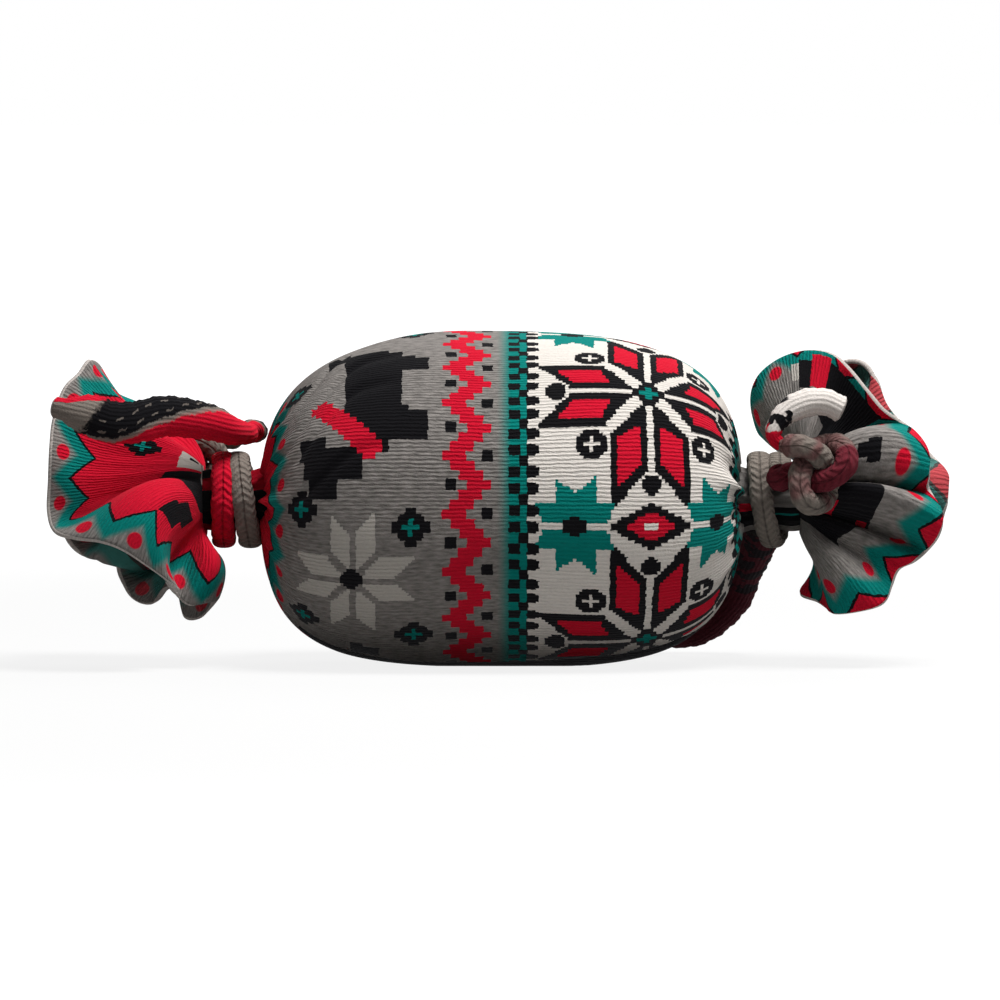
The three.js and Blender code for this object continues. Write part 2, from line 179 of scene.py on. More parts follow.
def folds(angle: np.ndarray, counts: Sequence[int], seed: int) -> np.ndarray:
    """Uneven folds round a gather: waves of several counts at fixed phases, sharpened to valleys.

    Each wave is 1 - 2|sin(k angle / 2 + phase)|, which has broad crests and narrow valleys.

    Args:
        angle: where on the turn, in radians.
        counts: how many folds each wave has in a turn.
        seed: picks the phases.

    Returns:
        A height between about -1 and 1 at each angle.
    """
    phases = np.random.default_rng(seed).uniform(0, FULL_TURN, len(counts))
    waves = [1 - 2 * np.abs(np.sin(count * angle / 2 + phase)) for count, phase in zip(counts, phases)]
    return sum(waves) / len(waves)


def soft_noise(shape: tuple[int, int], cells: tuple[int, int], seed: int) -> np.ndarray:
    """Smooth random heights on a grid that wraps across its columns.

    Random values on a coarse grid are joined by smoothsteps both ways.

    Args:
        shape: rows and columns of the result.
        cells: rows and columns of the coarse grid.
        seed: picks the values.

    Returns:
        Heights between -1 and 1.
    """
    coarse = np.random.default_rng(seed).uniform(-1, 1, (cells[0] + 1, cells[1]))
    row = np.linspace(0, cells[0], shape[0], endpoint=False)[:, None]
    column = np.linspace(0, cells[1], shape[1], endpoint=False)[None, :]
    low_row, low_column = row.astype(int), column.astype(int)
    down = smoothstep(0, 1, row - low_row)
    across = smoothstep(0, 1, column - low_column)
    next_column = (low_column + 1) % cells[1]
    top = coarse[low_row, low_column] * (1 - across) + coarse[low_row, next_column] * across
    bottom = coarse[low_row + 1, low_column] * (1 - across) + coarse[low_row + 1, next_column] * across
    return top * (1 - down) + bottom * down


# Meshes from grids


class Side(Enum):
    """The three surfaces of a cut cloth, in the order of its materials."""

    PRINT = 0
    REVERSE = 1
    CUT = 2


@dataclass
class Grid:
    """A grid of points, with each point's place on the flat cloth.

    The place has one more column than the points where the grid wraps, so that the pattern can go on
    across the closing line.
    """

    points: np.ndarray
    cloth: np.ndarray
    wraps: bool = False

    def normals(self) -> np.ndarray:
        """The direction square to the surface at each point: down x across."""
        down = np.gradient(self.points, axis=0)
        if self.wraps:
            across = np.roll(self.points, -1, axis=1) - np.roll(self.points, 1, axis=1)
        else:
            across = np.gradient(self.points, axis=1)
        return unit(np.cross(down, across))

    def moved(self, offset: np.ndarray) -> Grid:
        """The same grid with an offset added to its points."""
        return Grid(self.points + offset, self.cloth, self.wraps)

    def raised(self, height: np.ndarray | float) -> Grid:
        """The same grid moved along its normals by a height."""
        height = np.asarray(height, float)
        return self.moved(self.normals() * (height[..., None] if height.ndim else height))


@dataclass
class MeshParts:
    """Vertices and faces gathered from several grids before they become one mesh."""

    vertices: list[np.ndarray] = field(default_factory=list)
    faces: list[np.ndarray] = field(default_factory=list)
    places: list[np.ndarray] = field(default_factory=list)
    sides: list[np.ndarray] = field(default_factory=list)
    size: int = 0

    def add(self, grid: Grid, side: Side, flip: bool = False) -> np.ndarray:
        """Adds a grid's vertices and its four-cornered faces.

        Args:
            grid: the surface to add.
            side: which of the materials its faces have.
            flip: whether its faces look the other way.

        Returns:
            The index of each of the grid's vertices, rows x columns.
        """
        rows, columns = grid.points.shape[:2]
        index = self.size + np.arange(rows * columns).reshape(rows, columns)
        self.vertices.append(grid.points.reshape(-1, 3))
        self.size += rows * columns
        self.face(self.closed(index, grid.wraps), grid.cloth, side, flip)
        return index

    @staticmethod
    def closed(index: np.ndarray, wraps: bool) -> np.ndarray:
        """A grid of indices, with its first column again at the end where it wraps."""
        return np.hstack([index, index[:, :1]]) if wraps else index

    def face(self, index: np.ndarray, cloth: np.ndarray, side: Side, flip: bool = False) -> None:
        """Adds the faces between the neighbours of a grid of indices."""
        order = ((0, 0), (1, 0), (1, 1), (0, 1)) if flip else ((0, 0), (0, 1), (1, 1), (1, 0))
        rows, columns = index.shape
        cut = [(slice(r, rows - 1 + r), slice(c, columns - 1 + c)) for r, c in order]
        self.faces.append(np.stack([index[part] for part in cut], axis=-1).reshape(-1, 4))
        self.places.append(np.stack([cloth[part] for part in cut], axis=-2).reshape(-1, 4, 2))
        self.sides.append(np.full((rows - 1) * (columns - 1), side.value))

    def rim(self, front: np.ndarray, back: np.ndarray, outward: np.ndarray, cloth: np.ndarray) -> None:
        """Joins the edges of a front and a back with a rounded cut edge.

        Args:
            front: vertex indices along the front's edge.
            back: the same along the back's.
            outward: how far and which way the middle of the edge bulges, one vector per index.
            cloth: the places of the edge on the cloth.
        """
        vertices = np.vstack(self.vertices)
        middle = (vertices[front] + vertices[back]) / 2 + outward
        index = self.size + np.arange(len(front))
        self.vertices.append(middle)
        self.size += len(front)
        if len(cloth) > len(front):
            front, index, back = (np.append(ring, ring[0]) for ring in (front, index, back))
        self.face(np.stack([front, index, back]), np.stack([cloth] * 3), Side.CUT)

    def build(self, name: str, finishes: Sequence[bpy.types.Material]) -> bpy.types.Object:
        """Makes the mesh object, in metres, with its faces pointing outwards.

        Args:
            name: the piece's name.
            finishes: one material for each side that the faces use.

        Returns:
            The new object, at the origin.
        """
        mesh = bpy.data.meshes.new(name)
        faces = np.vstack(self.faces)
        mesh.from_pydata((np.vstack(self.vertices) * MM).tolist(), [], faces.tolist())
        layer = mesh.uv_layers.new(name="cloth")
        layer.data.foreach_set("uv", np.vstack(self.places).astype(np.float32).ravel())
        for finish in finishes:
            mesh.materials.append(finish)
        sides = np.minimum(np.concatenate(self.sides), len(finishes) - 1)
        mesh.polygons.foreach_set("material_index", sides.astype(np.int32))
        mesh.polygons.foreach_set("use_smooth", np.ones(len(faces), bool))
        turned = bmesh.new()
        turned.from_mesh(mesh)
        bmesh.ops.recalc_face_normals(turned, faces=turned.faces)
        turned.to_mesh(mesh)
        turned.free()
        mesh.update()
        piece = bpy.data.objects.new(name, mesh)
        bpy.context.scene.collection.objects.link(piece)
        LOG.info("%s: %d faces", name, len(mesh.polygons))
        return piece


def thick_cloth(
    name: str, front: Grid, back: Grid, finishes: Sequence[bpy.types.Material]
) -> bpy.types.Object:
    """A cloth with a printed front, a reverse and rounded cut edges.

    Args:
        name: the piece's name.
        front: the printed face.
        back: the reverse, point for point behind the front.
        finishes: the print's material, the reverse's and the cut edge's.

    Returns:
        The new object.
    """
    bulge_share = 0.4
    parts = MeshParts()
    ahead = parts.add(front, Side.PRINT)
    behind = parts.add(back, Side.REVERSE, flip=True)
    middle = (front.points + back.points) / 2
    bulge = bulge_share * np.linalg.norm(front.points - back.points, axis=-1)[..., None]
    # Each edge's index, and the index of the row or column next to it.
    edges = [((0,), (1,)), ((-1,), (-2,))]
    if not front.wraps:
        edges += [((slice(None), 0), (slice(None), 1)), ((slice(None), -1), (slice(None), -2))]
    for edge, inner in edges:
        outward = unit(middle[edge] - middle[inner]) * bulge[edge]
        parts.rim(ahead[edge], behind[edge], outward, front.cloth[edge])
    piece = parts.build(name, finishes)
    weld(piece)
    return piece


def weld(piece: bpy.types.Object, distance: float = 1e-7) -> None:
    """Merges a piece's doubled vertices, fills what is left open and turns its faces outwards."""
    mesh = bmesh.new()
    mesh.from_mesh(piece.data)
    bmesh.ops.remove_doubles(mesh, verts=mesh.verts, dist=distance)
    open_edges = [edge for edge in mesh.edges if edge.is_boundary]
    bmesh.ops.holes_fill(mesh, edges=open_edges, sides=0)
    bmesh.ops.recalc_face_normals(mesh, faces=mesh.faces)
    for face in mesh.faces:
        face.smooth = True
    mesh.to_mesh(piece.data)
    mesh.free()
    piece.data.update()


def skin(
    name: str,
    points: np.ndarray,
    cloth: np.ndarray,
    finish: bpy.types.Material,
    distance: float = 1e-7,
) -> bpy.types.Object:
    """A closed skin: a grid that wraps round, with its two ends filled.

    Args:
        name: the piece's name.
        points: the grid's points, rows x columns x 3.
        cloth: their places on the flat cloth, with one more column.
        finish: the material.
        distance: how near to each other two vertices are merged, in metres.

    Returns:
        The new object.
    """
    parts = MeshParts()
    parts.add(Grid(points, cloth, wraps=True), Side.PRINT)
    piece = parts.build(name, [finish])
    weld(piece, distance)
    return piece


def swept(
    name: str,
    line: np.ndarray,
    section: Callable[[np.ndarray, np.ndarray], tuple[np.ndarray, np.ndarray]],
    hint: Sequence[float],
    finish: bpy.types.Material,
    sides: int = 28,
) -> bpy.types.Object:
    """A rolled strip: a closed outline carried along a line, with both ends capped.

    A point is the line's point + side axis x the outline's width + facing axis x its height.

    Args:
        name: the piece's name.
        line: the middle line, n x 3.
        section: gives the outline's width and height for the run along the line and the angle round it.
        hint: the direction that the facing axis keeps to.
        finish: the material.
        sides: points round the outline.

    Returns:
        The new object.
    """
    side, facing = carried_axes(line, hint)
    run = run_along(line)
    angle = np.linspace(0, FULL_TURN, sides, endpoint=False)
    width, height = section(run[:, None], angle[None, :])
    points = line[:, None] + side[:, None] * width[..., None] + facing[:, None] * height[..., None]
    around = np.linspace(0, 1, sides + 1)
    return skin(name, points, stacked(run[:, None], around[None, :]), finish)


# Shader maths


class Term:
    """A number that a shader works out, which Python's operators turn into Math nodes."""

    def __init__(self, graph: Graph, socket: bpy.types.NodeSocket) -> None:
        """Wraps a socket of a material's graph."""
        self.graph = graph
        self.socket = socket

    def math(self, operation: str, *others: Term | float) -> Term:
        """Applies a Math node's operation to this and other values."""
        values = dict(enumerate((self, *others)))
        return self.graph.node("ShaderNodeMath", {"operation": operation}, values)

    def __add__(self, other: Term | float) -> Term:
        """self + other."""
        return self.math("ADD", other)

    __radd__ = __add__

    def __sub__(self, other: Term | float) -> Term:
        """self - other."""
        return self.math("SUBTRACT", other)

    def __rsub__(self, other: float) -> Term:
        """other - self."""
        return self.graph.node("ShaderNodeMath", {"operation": "SUBTRACT"}, {0: other, 1: self})

    def __mul__(self, other: Term | float) -> Term:
        """self x other."""
        return self.math("MULTIPLY", other)

    __rmul__ = __mul__

    def __truediv__(self, other: Term | float) -> Term:
        """self / other."""
        return self.math("DIVIDE", other)

    def __lt__(self, other: Term | float) -> Term:
        """1 where self is less than other, and 0 elsewhere."""
        return self.math("LESS_THAN", other)

    def __gt__(self, other: Term | float) -> Term:
        """1 where self is greater than other, and 0 elsewhere."""
        return self.math("GREATER_THAN", other)

    def __abs__(self) -> Term:
        """The size of self without its sign."""
        return self.math("ABSOLUTE")

    def __and__(self, other: Term) -> Term:
        """1 where both masks are 1."""
        return self.math("MULTIPLY", other)

    def __or__(self, other: Term) -> Term:
        """1 where either mask is 1."""
        return self.math("MAXIMUM", other)

    def floor(self) -> Term:
        """The whole number below self."""
        return self.math("FLOOR")

    def least(self, other: Term | float) -> Term:
        """The smaller of the two."""
        return self.math("MINIMUM", other)

    def most(self, other: Term | float) -> Term:
        """The larger of the two."""
        return self.math("MAXIMUM", other)

    def close_to(self, place: Term | float, reach: float) -> Term:
        """1 where self is less than a reach away from a place, and 0 elsewhere."""
        return abs(self - place) < reach

    def wave(self) -> Term:
        """The sine of self."""
        return self.math("SINE")

    def wrapped(self, period: float, centre: float = 0.0) -> Term:
        """Self's distance from the nearest of the places centre + n x period, with its sign."""
        return (self - centre).math("WRAP", period / 2, -period / 2)

    def ramp(self, low: float, high: float) -> Term:
        """Rises smoothly from 0 at low to 1 at high, or falls where high is below low."""
        settings = {"interpolation_type": "SMOOTHSTEP", "clamp": True}
        return self.graph.node("ShaderNodeMapRange", settings, {0: self, 1: low, 2: high})


Colour = tuple[float, float, float]

WHITE: Colour = (1.0, 1.0, 1.0)


def linear(red: int, green: int, blue: int) -> Colour:
    """A colour of 0 to 255 as it is seen on a screen, in the linear values that shaders use."""
    shares = (channel / 255 for channel in (red, green, blue))
    return tuple(s / 12.92 if s <= 0.04045 else ((s + 0.055) / 1.055) ** 2.4 for s in shares)


CLOTH_CONSTANTS = {"Sheen Weight": 0.015, "Sheen Roughness": 0.5, "Specular IOR Level": 0.08}


class Graph:
    """A material's node tree, with one method that adds nodes and a few that name common ones."""

    def __init__(self, name: str, world: bpy.types.World | None = None) -> None:
        """Starts an empty material, or empties a world's shader."""
        self.material = None if world else bpy.data.materials.new(name)
        owner = world or self.material
        owner.use_nodes = True
        self.tree = owner.node_tree
        self.tree.nodes.clear()

    def node(self, kind: str, settings: dict, values: dict, output: int | str = 0) -> Term:
        """Adds a node.

        Args:
            kind: the node's type.
            settings: its own settings, such as a Math node's operation.
            values: numbers, colours or terms for its sockets, by index or name.
            output: which of its outputs to wrap.

        Returns:
            The output as a term.
        """
        node = self.tree.nodes.new(kind)
        for key, value in settings.items():
            setattr(node, key, value)
        for key, value in values.items():
            self.connect(node.inputs[key], value)
        return Term(self, node.outputs[output])

    def connect(self, socket: bpy.types.NodeSocket, value: Term | float | Colour) -> None:
        """Links a term to a socket, or sets the socket to a number or a colour."""
        if isinstance(value, Term):
            self.tree.links.new(value.socket, socket)
        elif isinstance(value, tuple) and len(socket.default_value) > len(value):
            socket.default_value = (*value, 1.0)
        else:
            socket.default_value = value

    def mix(self, below: Term | Colour, above: Term | Colour, share: Term | float) -> Term:
        """One colour over another: below where the share is 0, above where it is 1."""
        return self.node("ShaderNodeMix", {"data_type": "RGBA"}, {0: share, 6: below, 7: above}, 2)

    def tinted(self, colour: Term | Colour, factor: Term) -> Term:
        """A colour made lighter or darker by a factor."""
        values = {0: colour, "Scale": factor}
        return self.node("ShaderNodeVectorMath", {"operation": "SCALE"}, values)

    def split(self, vector: Term) -> tuple[Term, Term, Term]:
        """The three numbers of a vector."""
        first = self.node("ShaderNodeSeparateXYZ", {}, {0: vector})
        outputs = first.socket.node.outputs
        return first, Term(self, outputs[1]), Term(self, outputs[2])

    def joined(self, x: Term | float, y: Term | float, z: Term | float = 0.0) -> Term:
        """A vector of three numbers."""
        return self.node("ShaderNodeCombineXYZ", {}, {0: x, 1: y, 2: z})

    def cloth(self) -> Term:
        """The place on the flat cloth, in millimetres."""
        return self.node("ShaderNodeUVMap", {"uv_map": "cloth"}, {})

    def place(self) -> Term:
        """The place in the piece's own space, in metres."""
        return self.node("ShaderNodeTexCoord", {}, {}, "Object")

    def noise(self, at: Term, scale: float, detail: float = 2.0) -> Term:
        """Soft noise of about 0 to 1."""
        return self.node("ShaderNodeTexNoise", {}, {"Vector": at, "Scale": scale, "Detail": detail})

    def grain(self, along: Term, around: Term | float, detail: float = 2.0) -> Term:
        """Noise in cells of about 1, where along and around were scaled to stretch it over the cloth."""
        return self.noise(self.joined(along, around), 1.0, detail)

    def looked_at(self) -> Term:
        """1 for rays from the camera and for those that gloss or glass sends on, and 0 for light."""
        camera = self.node("ShaderNodeLightPath", {}, {}, "Is Camera Ray")
        outputs = camera.socket.node.outputs
        gloss, glass = (Term(self, outputs[name]) for name in ("Is Glossy Ray", "Is Transmission Ray"))
        return camera | gloss | glass

    def bump(self, height: Term, depth: float) -> Term:
        """A normal bent by a height, where a height of 1 stands for the depth, in metres."""
        return self.node("ShaderNodeBump", {}, {"Height": height, "Distance": depth}, "Normal")

    def surface(self, colour: Term | Colour, roughness: float, normal: Term) -> None:
        """Ends the graph in cloth's shader.

        Args:
            colour: base colour.
            roughness: from 0 for gloss to 1 for matte.
            normal: the bent normal.
        """
        values = {"Base Color": colour, "Roughness": roughness, "Normal": normal, **CLOTH_CONSTANTS}
        shader = self.node("ShaderNodeBsdfPrincipled", {}, values)
        self.node_output(shader)

    def node_output(self, shader: Term, kind: str = "ShaderNodeOutputMaterial") -> None:
        """Links a shader to the output of the material or the world."""
        output = self.tree.nodes.new(kind)
        self.tree.links.new(shader.socket, output.inputs["Surface"])


# Finishes


@dataclass(frozen=True)
class Inks:
    """The colours of the printed cloth."""

    heather: Colour = linear(132, 127, 123)
    white: Colour = linear(226, 219, 211)
    red: Colour = linear(206, 18, 46)
    teal: Colour = linear(0, 124, 116)
    black: Colour = linear(14, 13, 16)
    snow: Colour = linear(188, 182, 174)
    seam: Colour = linear(196, 187, 181)


@dataclass(frozen=True)
class Knit:
    """The knit that the pattern is printed on: its ribs, its nap and the steps of the print."""

    fine_cell: float = 0.75
    coarse_cell: float = 1.5
    rib_pitch: float = RIB_PITCH
    rib_depth: float = 0.00016
    fray_along: float = 1.1
    fray_around: float = 0.5

    def relief(self, graph: Graph, along: Term, around: Term) -> tuple[Term, Term]:
        """The knit's height and its shade.

        Ribs run along the toy: a sine round it, bent by noise that is long along the ribs. The nap is a
        finer noise, stretched the same way.

        Args:
            graph: the material.
            along: millimetres along the cloth.
            around: millimetres across the ribs.

        Returns:
            The bent normal, and a factor of about 1 on the colour: painted shade, darker between ribs, with
            random tone from the stitches and the nap.
        """
        bend = graph.grain(along * 0.35, around * 0.9)
        rib = (around * (FULL_TURN / self.rib_pitch) + bend * 5.0).wave()
        stitch = graph.grain(along * 1.3, around * 2.4, 3.0)
        nap = graph.grain(along * 3.2, around * 4.6, 3.0)
        height = rib * 0.5 + stitch * 1.4 + nap * 0.9
        normal = graph.bump(height, self.rib_depth)
        # The rib term paints shade between the ribs; the stitch and nap terms vary the tone at random.
        shade = 0.78 + rib * 0.045 + stitch * 0.24 + nap * 0.2
        return normal, shade


@dataclass(frozen=True)
class Petal:
    """One of eight petals, as limits on the longer and the shorter distance from the flower's middle.

    The shorter distance lies between near and far_side. The longer one lies between start + start_slope x
    shorter and end + end_slope x shorter.
    """

    near: float
    far_side: float
    start: float
    start_slope: float
    end: float
    end_slope: float

    def mask(self, longer: Term, shorter: Term) -> Term:
        """1 inside the petals."""
        across = (shorter > self.near) & (shorter < self.far_side)
        after = longer > shorter * self.start_slope + self.start
        before = longer < shorter * self.end_slope + self.end
        return across & after & before


Patches = Sequence[tuple[str, float, float, float, float]]

# Blocks of print, a few of them also painted shade: the ink, then the middle along and round the cloth, and
# half the size both ways.

COVER_PATCHES: Patches = (
    ("black", -31.0, -43.5, 3.4, 2.6),
    ("black", -33.2, -41.0, 1.5, 1.5),
    # A black band along the underside: partly print, partly painted shade under the body.
    ("black", 0.0, 195.0, 64.0, 8.0),
    ("red", -52.0, 197.0, 7.0, 5.0),
)

LEFT_PATCHES: Patches = (
    ("black", 110.5, 8.4, 5.2, 1.5),
    ("black", 104.6, 5.4, 2.2, 3.4),
    ("black", 117.2, 71.5, 3.4, 4.6),
    ("black", 112.6, 73.5, 3.4, 5.6),
    ("black", 95.0, 68.0, 9.4, 34.0),
    ("black", 84.0, 222.0, 10.0, 20.0),
    ("black", 84.0, 6.0, 10.0, 8.0),
    ("snow", 98.0, 23.0, 4.2, 8.0),
    ("heather", 94.6, 18.0, 2.2, 4.0),
    ("black", 98.6, 18.6, 1.3, 1.5),
)

RIGHT_PATCHES: Patches = (
    ("black", 119.2, 78.6, 1.5, 2.0),
    ("black", 117.8, 78.6, 2.6, 1.1),
    ("black", 110.4, 107.0, 7.2, 13.6),
    ("red", 106.0, 101.0, 2.4, 2.4),
    ("red", 116.0, 104.0, 1.2, 1.2),
    # Black in the deep valley above the knot: partly print, partly painted shade.
    ("black", 121.0, 55.0, 7.0, 8.0),
    ("black", 84.0, 216.0, 9.0, 15.0),
    ("red", 80.0, 232.0, 3.5, 5.0),
    ("teal", 86.0, 221.0, 3.0, 3.0),
)

RIGHT_TOP_PATCHES: Patches = (
    # Black in the deep valley above the knot: partly print, partly painted shade.
    ("black", 124.6, 51.6, 6.6, 10.4),
    ("black", 127.0, 35.6, 3.8, 2.2),
    ("red", 127.6, 39.8, 4.2, 2.6),
    ("snow", 127.6, 32.4, 2.4, 1.2),
)

STAR_PETAL = Petal(0.7, 9.1, 2.4, 0.89, 16.8, 0.95)
STAR_HEART = Petal(2.6, 7.2, 7.3, 0.52, 14.7, 0.85)
SNOW_PETAL = Petal(0.7, 5.3, 1.6, 0.89, 9.6, 0.95)


class PrintedCloth:
    """The printed pattern, laid down band by band on the flat cloth, one ink over another."""

    zigzag_period = 13.33
    star_period = 66.0
    star_middle = -6.0
    star_axis = 33.0
    star_stretch = 1.17

    def __init__(self, name: str, inks: Inks, knit: Knit) -> None:
        """Starts a cloth in plain grey heather."""
        self.graph = Graph(name)
        self.inks = inks
        self.knit = knit
        place = self.graph.cloth()
        self.true_along, self.true_around, _ = self.graph.split(place)
        row = (self.true_around / knit.rib_pitch).floor()
        ends = self.graph.grain(self.true_along * 0.45, row * 1.7)
        sides = self.graph.noise(self.graph.joined(self.true_along, self.true_around), 1.3)
        self.frayed_along = self.true_along + (ends - 0.5) * knit.fray_along
        self.frayed_around = self.true_around + (sides - 0.5) * knit.fray_around
        self.along = self.cell(self.frayed_along, knit.fine_cell)
        self.around = self.cell(self.frayed_around, knit.fine_cell)
        self.coarse_along = self.cell(self.frayed_along, knit.coarse_cell)
        self.coarse_around = self.cell(self.frayed_around, knit.coarse_cell)
        self.colour: Term | Colour = inks.heather
        self.flecks()

    @staticmethod
    def cell(value: Term, size: float) -> Term:
        """A place moved to the middle of its cell of the drawn pattern."""
        return ((value / size).floor() + 0.5) * size

    def flecks(self) -> None:
        """The pale and dark fibres of grey heather, long along the ribs."""
        fleck = self.graph.grain(self.true_along * 0.4, self.true_around * 1.7, 5.0)
        self.colour = self.graph.tinted(self.colour, 0.08 + fleck * 1.84)

    def ink(self, mask: Term, colour: Colour) -> None:
        """Prints a colour where a mask is 1, and a haze of it where the mask is less."""
        self.colour = self.graph.mix(self.colour, colour, mask)

    def box(self, along: Term, around: Term, half_along: float, half_around: float) -> Term:
        """1 inside a box about the places where along and around are 0."""
        return (abs(along) < half_along) & (abs(around) < half_around)

    def plus(self, along: Term, around: Term, reach: float, arm: float) -> Term:
        """1 inside a thick plus sign with a filled middle."""
        far = along.most(around)
        near = along.least(around)
        return (far < reach) & (near < arm) | (far < (reach + arm) * 0.5)

    def red_zigzag(self) -> None:
        """The thick red zigzag with a column of black squares in its bays on each side."""
        centre, swing, thick, corner = -7.85, 2.9, 2.7, -3.2
        period = self.zigzag_period
        sixth = self.cell(self.frayed_around, period / 6)
        phase = abs(sixth.wrapped(period, corner))
        line = phase * (2 * swing / (period / 2)) + (centre - swing)
        self.ink(self.frayed_along.close_to(line, thick), self.inks.red)
        for along, around in ((-3.2, corner), (-11.4, corner + period / 2)):
            level = self.frayed_around.wrapped(period, around)
            self.ink(self.box(self.frayed_along - along, level, 1.25, 1.35), self.inks.black)

    def border(self, away: Term, true_away: Term) -> None:
        """The border between grey and white: a haze of teal, with black squares and bumps joined in pairs.

        Args:
            away: millimetres from the border's grey side, with frayed edges.
            true_away: the same with straight edges.
        """
        pair = 2 * self.zigzag_period / 3
        from_gap = abs(self.frayed_around.wrapped(pair, pair / 2))
        from_square = abs(from_gap - 1.92)
        self.ink(true_away.ramp(-1.4, 2.2) & (away < 5.7), self.inks.teal)
        square = away.close_to(2.85, 1.3) & (from_square < 1.25)
        bridge = away.close_to(4.9, 1.05) & (from_gap > 3.2)
        shoulder = away.close_to(6.6, 1.0) & (from_square < 1.4)
        nose = away.close_to(7.8, 0.55) & (from_square < 1.0)
        self.ink(square | bridge | shoulder | nose, self.inks.black)

    def star_ground(self) -> None:
        """The white ground of the star band, between the middles of its two borders."""
        border_middle = 5.4
        self.ink(self.frayed_along.close_to(self.star_axis, self.star_axis - border_middle), self.inks.white)

    def star_band(self) -> None:
        """Eight-petal stars with small motifs between them, mirrored about the band's middle."""
        side = abs(self.along - self.star_axis)
        rise = self.around.wrapped(self.star_period, self.star_middle + self.star_period / 2)
        up = abs(rise) / self.star_stretch
        longer, shorter = side.most(up), side.least(up)
        self.ink(STAR_PETAL.mask(longer, shorter), self.inks.black)
        self.ink(STAR_HEART.mask(longer, shorter), self.inks.red)
        self.ink(self.plus(side, up, 3.6, 1.6), self.inks.black)
        self.ink((longer < 1.9) & (shorter < 0.6), self.inks.teal)
        self.ink(self.plus(abs(side - 20.8), up, 2.4, 1.3), self.inks.black)
        middle = abs(self.around.wrapped(self.star_period, self.star_middle))
        self.middle_motifs(side, middle)
        self.flowers(side, middle)

    def middle_motifs(self, side: Term, middle: Term) -> None:
        """Between two stars: a red diamond, solid pluses above and below it, and ring pluses."""
        white, black, red = self.inks.white, self.inks.black, self.inks.red
        diamond = side * 0.56 + middle
        for reach, colour in ((7.5, white), (5.5, black), (3.4, red), (1.1, white)):
            self.ink(diamond < reach, colour)
        self.ink(self.plus(side, abs(middle - 9.3), 2.2, 1.1), black)
        out, up = abs(side - 13.2), abs(middle - 18.4)
        self.ink(self.plus(out, up, 3.6, 1.7), black)
        self.ink((out.most(up) < 1.7) & (out.least(up) < 0.6), white)

    def flowers(self, side: Term, middle: Term) -> None:
        """Teal eight-petal flowers to each side of the diamond."""
        out, up = abs(side - 16.8), middle
        level = (up < 5.3) & (out - up * 0.4 < 6.8)
        upright = (out < 4.5) & (up - out * 0.8 < 7.4)
        self.ink((level | upright) & (up > 0.55), self.inks.teal)
        self.ink(self.plus(out, up, 2.4, 1.2), self.inks.black)

    def small_diamond(self, along: float, around: float, period: float) -> None:
        """A black diamond of stitches with a teal plus in its middle."""
        out = abs(self.frayed_along - along)
        up = abs(self.frayed_around.wrapped(period, around))
        far, near = out.most(up), out.least(up)
        self.ink((far < 4.4) & (near < 1.3) | (far < 3.0) & (near < 2.5), self.inks.black)
        self.ink((far < 2.0) & (near < 0.5), self.inks.teal)

    def snowflake(self, along: float, around: float, period: float) -> None:
        """A pale eight-petal snowflake with a black centre."""
        out = abs(self.along - along)
        up = abs(self.around.wrapped(period, around)) / 1.06
        longer, shorter = out.most(up), out.least(up)
        self.ink(SNOW_PETAL.mask(longer, shorter), self.inks.snow)
        self.ink(self.plus(out, up, 2.4, 1.3), self.inks.black)

    def terrier(self, along: float, around: float, period: float, coat: Colour, scarf: Colour) -> None:
        """A stepped terrier that stands with its feet towards the middle of the toy.

        It is a union of boxes: forward runs down round the toy, and height runs away from its feet.

        Args:
            along: where its feet stand along the cloth.
            around: where its back end is round the cloth.
            period: how far round it comes again.
            coat: the coat's ink.
            scarf: the scarf's ink.
        """
        height = along - self.coarse_along
        ahead = 0.3 * period
        forward = ahead - self.coarse_around.wrapped(period, around - ahead)
        for low, high, bottom, top in self.terrier_boxes():
            length, rise = (high - low) / 2, (top - bottom) / 2
            self.ink(self.box(forward - low - length, height - bottom - rise, length, rise), coat)
        scarf_width = (forward + height).close_to(47.0, 4.0)
        scarf_length = (forward - height).close_to(8.5, 15.5)
        self.ink(scarf_width & scarf_length, scarf)

    @staticmethod
    def terrier_boxes() -> list[tuple[float, float, float, float]]:
        """The boxes of the terrier: from and to along its length, and from and to in height."""
        return [
            (0.0, 32.0, 6.4, 19.8),
            (-2.5, 4.0, 9.0, 17.0),
            (-4.5, 1.0, 18.0, 24.0),
            (4.0, 10.0, 0.0, 7.0),
            (2.0, 6.5, 3.0, 7.0),
            (25.0, 33.0, 0.0, 7.0),
            (23.0, 27.0, 4.0, 7.0),
            (31.0, 35.5, 8.5, 17.5),
            (33.5, 41.0, 14.5, 29.0),
            (31.0, 37.0, 24.0, 31.0),
            (39.0, 46.5, 20.0, 27.5),
        ]

    def patches(self, patches: Patches, side: int) -> None:
        """Stepped blocks of motifs that the folds cut short, a few of them also painted shade, as middles and
        half sizes on the cloth.
        """
        for ink, along, around, half_along, half_around in patches:
            place = self.box(self.along - side * along, self.around - around, half_along, half_around)
            self.ink(place, getattr(self.inks, ink))

    def dotted_edge(self, out: Term, true_out: Term, phase: float = 0.0) -> None:
        """The edge from grey heather to red: red dots on grey, a teal zigzag, a thin black one, then red.

        Args:
            out: millimetres towards the red from the teal zigzag's middle, with frayed edges.
            true_out: the same with straight edges.
            phase: where round the cloth one of the dots is.
        """
        period, slope, corner, dot_out = self.zigzag_period, 0.915, 0.7, 5.4
        edge = out + abs(self.frayed_around.wrapped(period, phase)) * slope - corner
        smooth = true_out + abs(self.true_around.wrapped(period, phase)) * slope - corner
        self.ink(smooth.ramp(-4.0, -1.4), self.inks.teal)
        self.ink(edge > 1.9, self.inks.black)
        self.ink(edge > 2.7, self.inks.red)
        dot_along = true_out + dot_out
        dot_around = self.true_around.wrapped(period, phase)
        reach = dot_along * dot_along + dot_around * dot_around * 0.8
        self.ink(reach.ramp(3.9, 2.4), self.inks.red)

